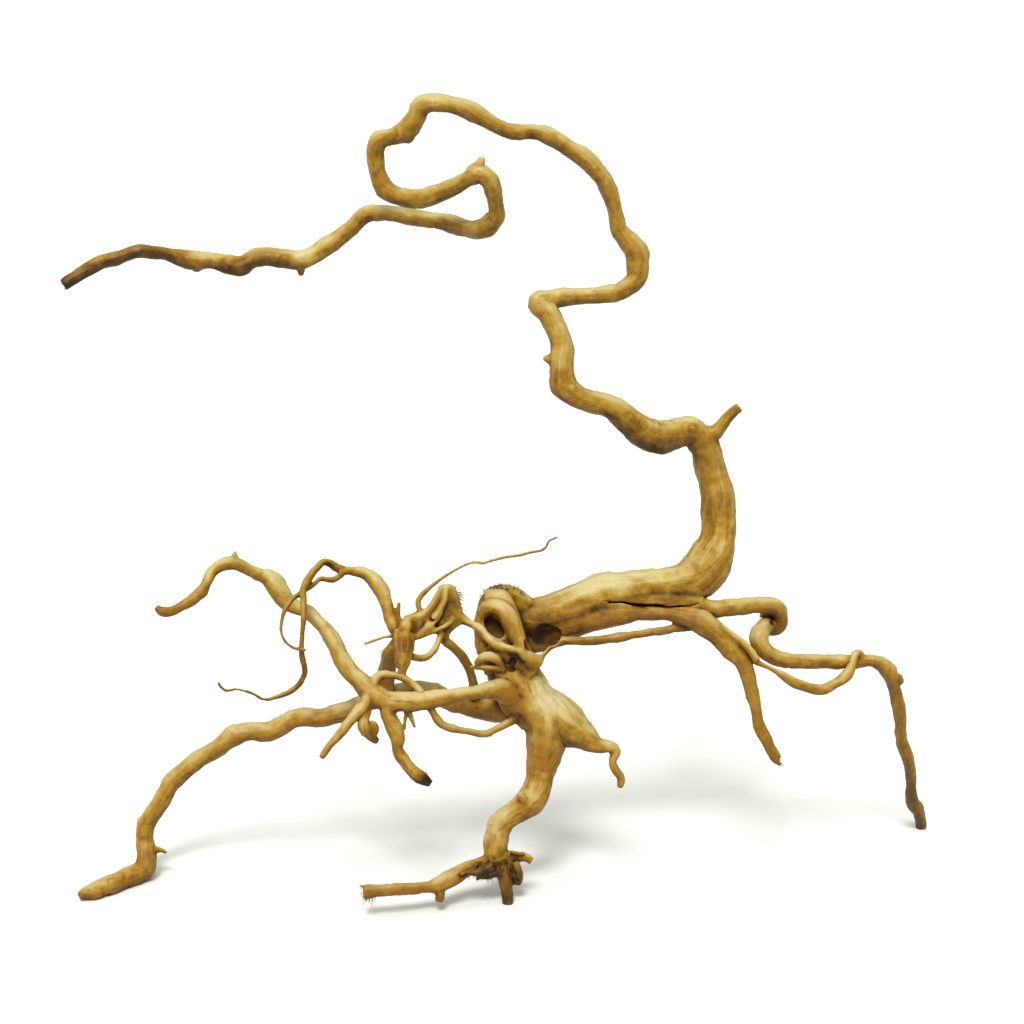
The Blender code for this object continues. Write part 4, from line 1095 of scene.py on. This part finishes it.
def tuft(start, end, lean, count, length, darkness):
    """Fibres between two drawn places, on the nearest skin, leaning right and up by the given shares."""
    data = round_curve("fibre", FIBRE_RADIUS, FIBRE_ROUNDNESS)
    for _ in range(count):
        share = wander.random()
        drawn = [a + (b - a) * share for a, b in zip(start, end)]
        target = np.array(on_sheet(*drawn)[0]) + wander.normal(0, SQUARE, 3)
        nearest = ((places - target)**2).sum(1).argmin()
        out = upright[nearest]
        heading = np.array((lean[0], 0, lean[1])) + FIBRE_OUTWARD * out + wander.normal(0, FIBRE_SPREAD, 3)
        rooted = places[nearest] - FIBRE_SINK * out + wander.normal(0, FIBRE_RADIUS / 3, 3)
        add_fibre(data, rooted, heading, length * SQUARE * wander.uniform(*FIBRE_LENGTHS))
    piece = put_in_scene("fibre", data)
    select_only([piece])
    bpy.ops.object.convert(target="MESH")
    store(piece, "tone", np.full(len(piece.data.vertices), darkness))
    return piece


fibre_pieces = [tuft(*row) for row in TUFTS]
select_only(fibre_pieces)
bpy.ops.object.join()
fibres = bpy.context.object
fibres.name = "torn_fibres"
bpy.ops.object.mode_set(mode="EDIT")
bpy.ops.mesh.select_all(action="SELECT")
bpy.ops.mesh.remove_doubles(threshold=CAP_WELD)
bpy.ops.mesh.normals_make_consistent(inside=False)
bpy.ops.object.mode_set(mode="OBJECT")
print("torn fibres:", len(fibres.data.polygons), "faces")

# %% [markdown]
# ## Sun-bleached driftwood
# This is root wood without its bark, bleached by sun and rubbed by sand. It is golden tan with a
# dull satin sheen and orange-brown low down. A patchy chalky pale is laid mostly on the faces that
# turn up, as painted light, and dark brown in the creases and between the fibres, as painted shade.
# Wood is not a metal and has an IOR near 1.5. The grain is noise stretched along each limb; a
# stretched noise is chosen over a wave because real fibres wander and end.

# %% Helpers for materials
MILLIMETRE = 0.001


def linear(hex_colour):
    """The linear colour of an sRGB hex value."""
    parts = [int(hex_colour[i:i + 2], 16) / 255 for i in (1, 3, 5)]
    return (*[p / 12.92 if p <= 0.04045 else ((p + 0.055) / 1.055)**2.4 for p in parts], 1)


def feed(node, inputs):
    """Gives each named or numbered socket its value, or a link from another node's output."""
    for key, value in inputs.items():
        if isinstance(value, bpy.types.NodeSocket):
            node.id_data.links.new(value, node.inputs[key])
        else:
            node.inputs[key].default_value = value


def add_node(tree, kind, inputs=None, **settings):
    """Adds a node with its settings, its values and its links."""
    node = tree.nodes.new("ShaderNode" + kind)
    for name, value in settings.items():
        setattr(node, name, value)
    feed(node, inputs or {})
    return node


def new_material(name):
    """A material with its nodes, and the shader that they lead to."""
    material = bpy.data.materials.new(name)
    material.use_nodes = True
    return material, material.node_tree.nodes["Principled BSDF"]


MID_TAN = "#C79F4F"
print("mid tan is", [round(v, 3) for v in linear(MID_TAN)[:3]])

# %% Lay out the grain patterns
# Real fibres are about a tenth of a millimetre wide, too fine to show, so they are drawn coarser.
FIBRE_MM = (9, 0.7)
STREAK_MM = (26, 3.0)
CRACK_MM = (18, 1.3)
BLOTCH_MM = 9
MOTTLE_MM = 2.6
FLECK_MM = 0.9

driftwood, shader = new_material("sun-bleached driftwood, dull satin")
tree = driftwood.node_tree
grain_place = add_node(tree, "Attribute", attribute_name="grain").outputs["Vector"]
tone_here, warmth_here, crease_here, painted_top_light_here = (
    add_node(tree, "Attribute", attribute_name=name).outputs["Fac"]
    for name in ("tone", "warmth", "crease", "painted_top_light")
)
own_place = add_node(tree, "TexCoord").outputs["Object"]


def along_grain(size_mm, detail):
    """Noise whose cells are long along the limb and thin across it."""
    along, across = (1 / (size * MILLIMETRE) for size in size_mm)
    place = add_node(tree, "Mapping", {"Vector": grain_place, "Scale": (along, across, across)})
    noise_inputs = {"Vector": place.outputs["Vector"], "Scale": 1, "Detail": detail, "Roughness": 0.6}
    return add_node(tree, "TexNoise", noise_inputs).outputs["Fac"]


def weighed(terms, constant=0.0):
    """The sum of each output times its weight."""
    total = constant
    for output, weight in terms:
        total = add_node(tree, "Math", {0: output, 1: weight, 2: total}, operation="MULTIPLY_ADD").outputs[0]
    return total


fibre = along_grain(FIBRE_MM, 3)
streak = along_grain(STREAK_MM, 3)
crack = along_grain(CRACK_MM, 1)
blotch, mottle, fleck = (
    add_node(tree, "TexNoise", {
        "Vector": own_place, "Scale": 1 / (size * MILLIMETRE), "Detail": detail,
    }).outputs["Fac"]
    for size, detail in ((BLOTCH_MM, 4), (MOTTLE_MM, 3), (FLECK_MM, 2))
)
print(len(tree.nodes), "nodes so far")

# %% Colour the driftwood
PALE, TAN, HONEY, BROWN, DARK = "#BDA65F", "#A57E27", "#845E10", "#583C0A", "#2C1E0A"
# The pale chalk colour also paints highlights on the tops, and the darkest brown paints shade in the creases.
ORANGE, CREASE_SHADE, CRACK_BROWN, CHALK_AND_PAINTED_HIGHLIGHT = "#946018", "#34220C", "#4A300E", "#CBC092"
# The crease term paints shade into the creases, and the term for facing up paints the tops paler and the
# undersides darker: painted light and shade.
shade = weighed([
    (streak, 0.45), (blotch, 0.36), (mottle, 0.45), (fibre, 0.35), (tone_here, 0.42), (crease_here, 0.2),
    (painted_top_light_here, -0.42),
], -0.29)
ramp = add_node(tree, "ValToRGB", {"Fac": shade})
stops = ramp.color_ramp.elements
stops[0].position, stops[0].color = 0.0, linear(PALE)
stops[1].position, stops[1].color = 1.0, linear(DARK)
for position, colour in ((0.28, TAN), (0.52, HONEY), (0.78, BROWN)):
    stops.new(position).color = linear(colour)
base = ramp.outputs["Color"]
print(len(stops), "colours in the ramp")

# %% [markdown]
# Over that colour lie orange warmth, chalk with painted highlights on faces that turn up, fine cracks,
# dark flecks and painted shade in the creases, in this order. Each is a layer: its patterns are weighed,
# the sum fades in between two limits, and so much of its colour goes over what is there. One loop lays
# them all.

# %% Lay warmth, chalk and painted highlights, cracks, flecks and painted crease shade over it
LAYERS = [
    # colour, strength, where it starts and where it is full, weighed patterns, constant
    # The term for facing up makes the undersides more orange, as painted shade.
    (ORANGE, 1.0, 0.0, 1.3, [(warmth_here, 0.8), (blotch, 1.3), (painted_top_light_here, -0.15)], -0.65),
    # Chalk goes mostly on faces that turn up, as a painted highlight, less into creases, as painted shade,
    # and patchily with the mottle.
    (CHALK_AND_PAINTED_HIGHLIGHT, 0.85, 0.3, 1.3,
     [(painted_top_light_here, 0.62), (mottle, 0.8), (crease_here, -0.3), (tone_here, -0.5)], -0.35),
    (CRACK_BROWN, 0.3, 0.64, 0.76, [(crack, 1.0)], 0.0),
    (CRACK_BROWN, 0.35, 0.68, 0.78, [(fleck, 1.0)], 0.0),
    # Dark brown in the creases: painted shade.
    (CREASE_SHADE, 0.8, 0.3, 1.2, [(crease_here, 1.0), (blotch, 0.3)], -0.15),
]
for colour, strength, start, full, patterns, constant in LAYERS:
    amount = add_node(tree, "MapRange", {
        "Value": weighed(patterns, constant), "From Min": start, "From Max": full, "To Max": strength,
    }, interpolation_type="SMOOTHSTEP")
    laid = {"Factor": amount.outputs["Result"], 6: base, 7: linear(colour)}
    base = add_node(tree, "Mix", laid, data_type="RGBA").outputs[2]
feed(shader, {"Base Color": base})
print(len(LAYERS), "layers of colour")

# %% Give it its satin and its fine grain
WOOD_IOR = 1.5
DRY_GLOSS = 0.2
BUMP_DEPTH, BUMP_STRENGTH = 0.0004, 0.7
grooves = weighed([(fibre, 0.5), (streak, 0.4), (crack, -0.4), (mottle, 0.5), (fleck, -0.25)])
bump = add_node(tree, "Bump", {"Height": grooves, "Distance": BUMP_DEPTH, "Strength": BUMP_STRENGTH})
feed(shader, {
    "Roughness": weighed([(fibre, 0.3), (crease_here, 0.15)], 0.38), "IOR": WOOD_IOR, "Metallic": 0,
    "Specular IOR Level": DRY_GLOSS, "Normal": bump.outputs["Normal"],
})
wood.data.materials.clear()
wood.data.materials.append(driftwood)
for face in wood.data.polygons:
    face.material_index = 0
select_only([wood])
bpy.ops.object.shade_smooth()
print("driftwood material has", len(tree.nodes), "nodes")

# %% [markdown]
# ## Dry torn fibre
# Bast fibre that has dried in the sun: matt, from straw to a dark grey-brown. Its fibres are far too
# thin to show a pattern of their own, so each tuft has one tone with a little unevenness.

# %% Make the torn fibre
STRAW, BARK_GREY = "#A48A54", "#3E2E16"
TUFT_MM = 2.5
BAST_ROUGHNESS = 0.8
bast, bast_shader = new_material("dry torn bast fibre")
tree = bast.node_tree
tuft_tone = add_node(tree, "Attribute", attribute_name="tone").outputs["Fac"]
uneven = add_node(tree, "TexNoise", {
    "Vector": add_node(tree, "TexCoord").outputs["Object"], "Scale": 1 / (TUFT_MM * MILLIMETRE),
}).outputs["Fac"]
darkening = weighed([(tuft_tone, 0.9), (uneven, 0.5)], -0.2)
laid = {"Factor": darkening, 6: linear(STRAW), 7: linear(BARK_GREY)}
feed(bast_shader, {
    "Base Color": add_node(tree, "Mix", laid, data_type="RGBA").outputs[2],
    "Roughness": BAST_ROUGHNESS, "Specular IOR Level": DRY_GLOSS,
})
fibres.data.materials.append(bast)
print("torn fibre material has", len(tree.nodes), "nodes")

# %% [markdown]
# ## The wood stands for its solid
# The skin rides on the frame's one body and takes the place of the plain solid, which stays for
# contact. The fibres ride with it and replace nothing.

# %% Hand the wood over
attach(wood, "root")
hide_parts("driftwood")
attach(fibres, "root")
print("handed over:", wood.name, "and", fibres.name)

# %% [markdown]
# ## A white floor and soft light
# The wood stands on a plain white ground, with a soft and faint shadow. The floor is one plane, large
# enough that the eye sees no end to it. Area lamps could make such a shadow, but suns with a wide
# angle need no place or size of their own, and a pale sky fills what they leave dark.

# %% Lay the floor
FLOOR_SIZE = 60
FLOOR_WHITE = "#F4F4F0"
bpy.ops.mesh.primitive_plane_add(size=FLOOR_SIZE, location=(0, 0, 0))
floor = bpy.context.object
floor.name = "floor"
# Paper scatters light every way, so it is fully rough and has no shine.
paper, paper_shader = new_material("matt white paper")
feed(paper_shader, {"Base Color": linear(FLOOR_WHITE), "Roughness": 1.0, "Specular IOR Level": 0.0})
floor.data.materials.append(paper)
print("floor is", FLOOR_SIZE, "m wide")

# %% Light it softly
SKY_STRENGTH = 0.33
SKY_COLOUR = "#F8FFF0"
LAMPS = [
    # name, strength, spread in degrees, direction that it comes from
    ("overhead softbox", 1.4, 80, (-0.1, -0.15, 1.0)),
    ("front softbox", 2.3, 18, (-0.12, -0.75, 1.0)),
]
world = bpy.data.worlds.new("studio")
world.use_nodes = True
feed(world.node_tree.nodes["Background"], {"Color": linear(SKY_COLOUR), "Strength": SKY_STRENGTH})
bpy.context.scene.world = world
for name, strength, spread, comes_from in LAMPS:
    lamp = bpy.data.lights.new(name, "SUN")
    lamp.energy = strength
    lamp.angle = math.radians(spread)
    lit = put_in_scene(name, lamp)
    lit.rotation_euler = Vector(comes_from).to_track_quat("Z", "Y").to_euler()
bpy.context.scene.view_settings.view_transform = "Standard"
print(len(LAMPS), "lamps and a sky of strength", SKY_STRENGTH)
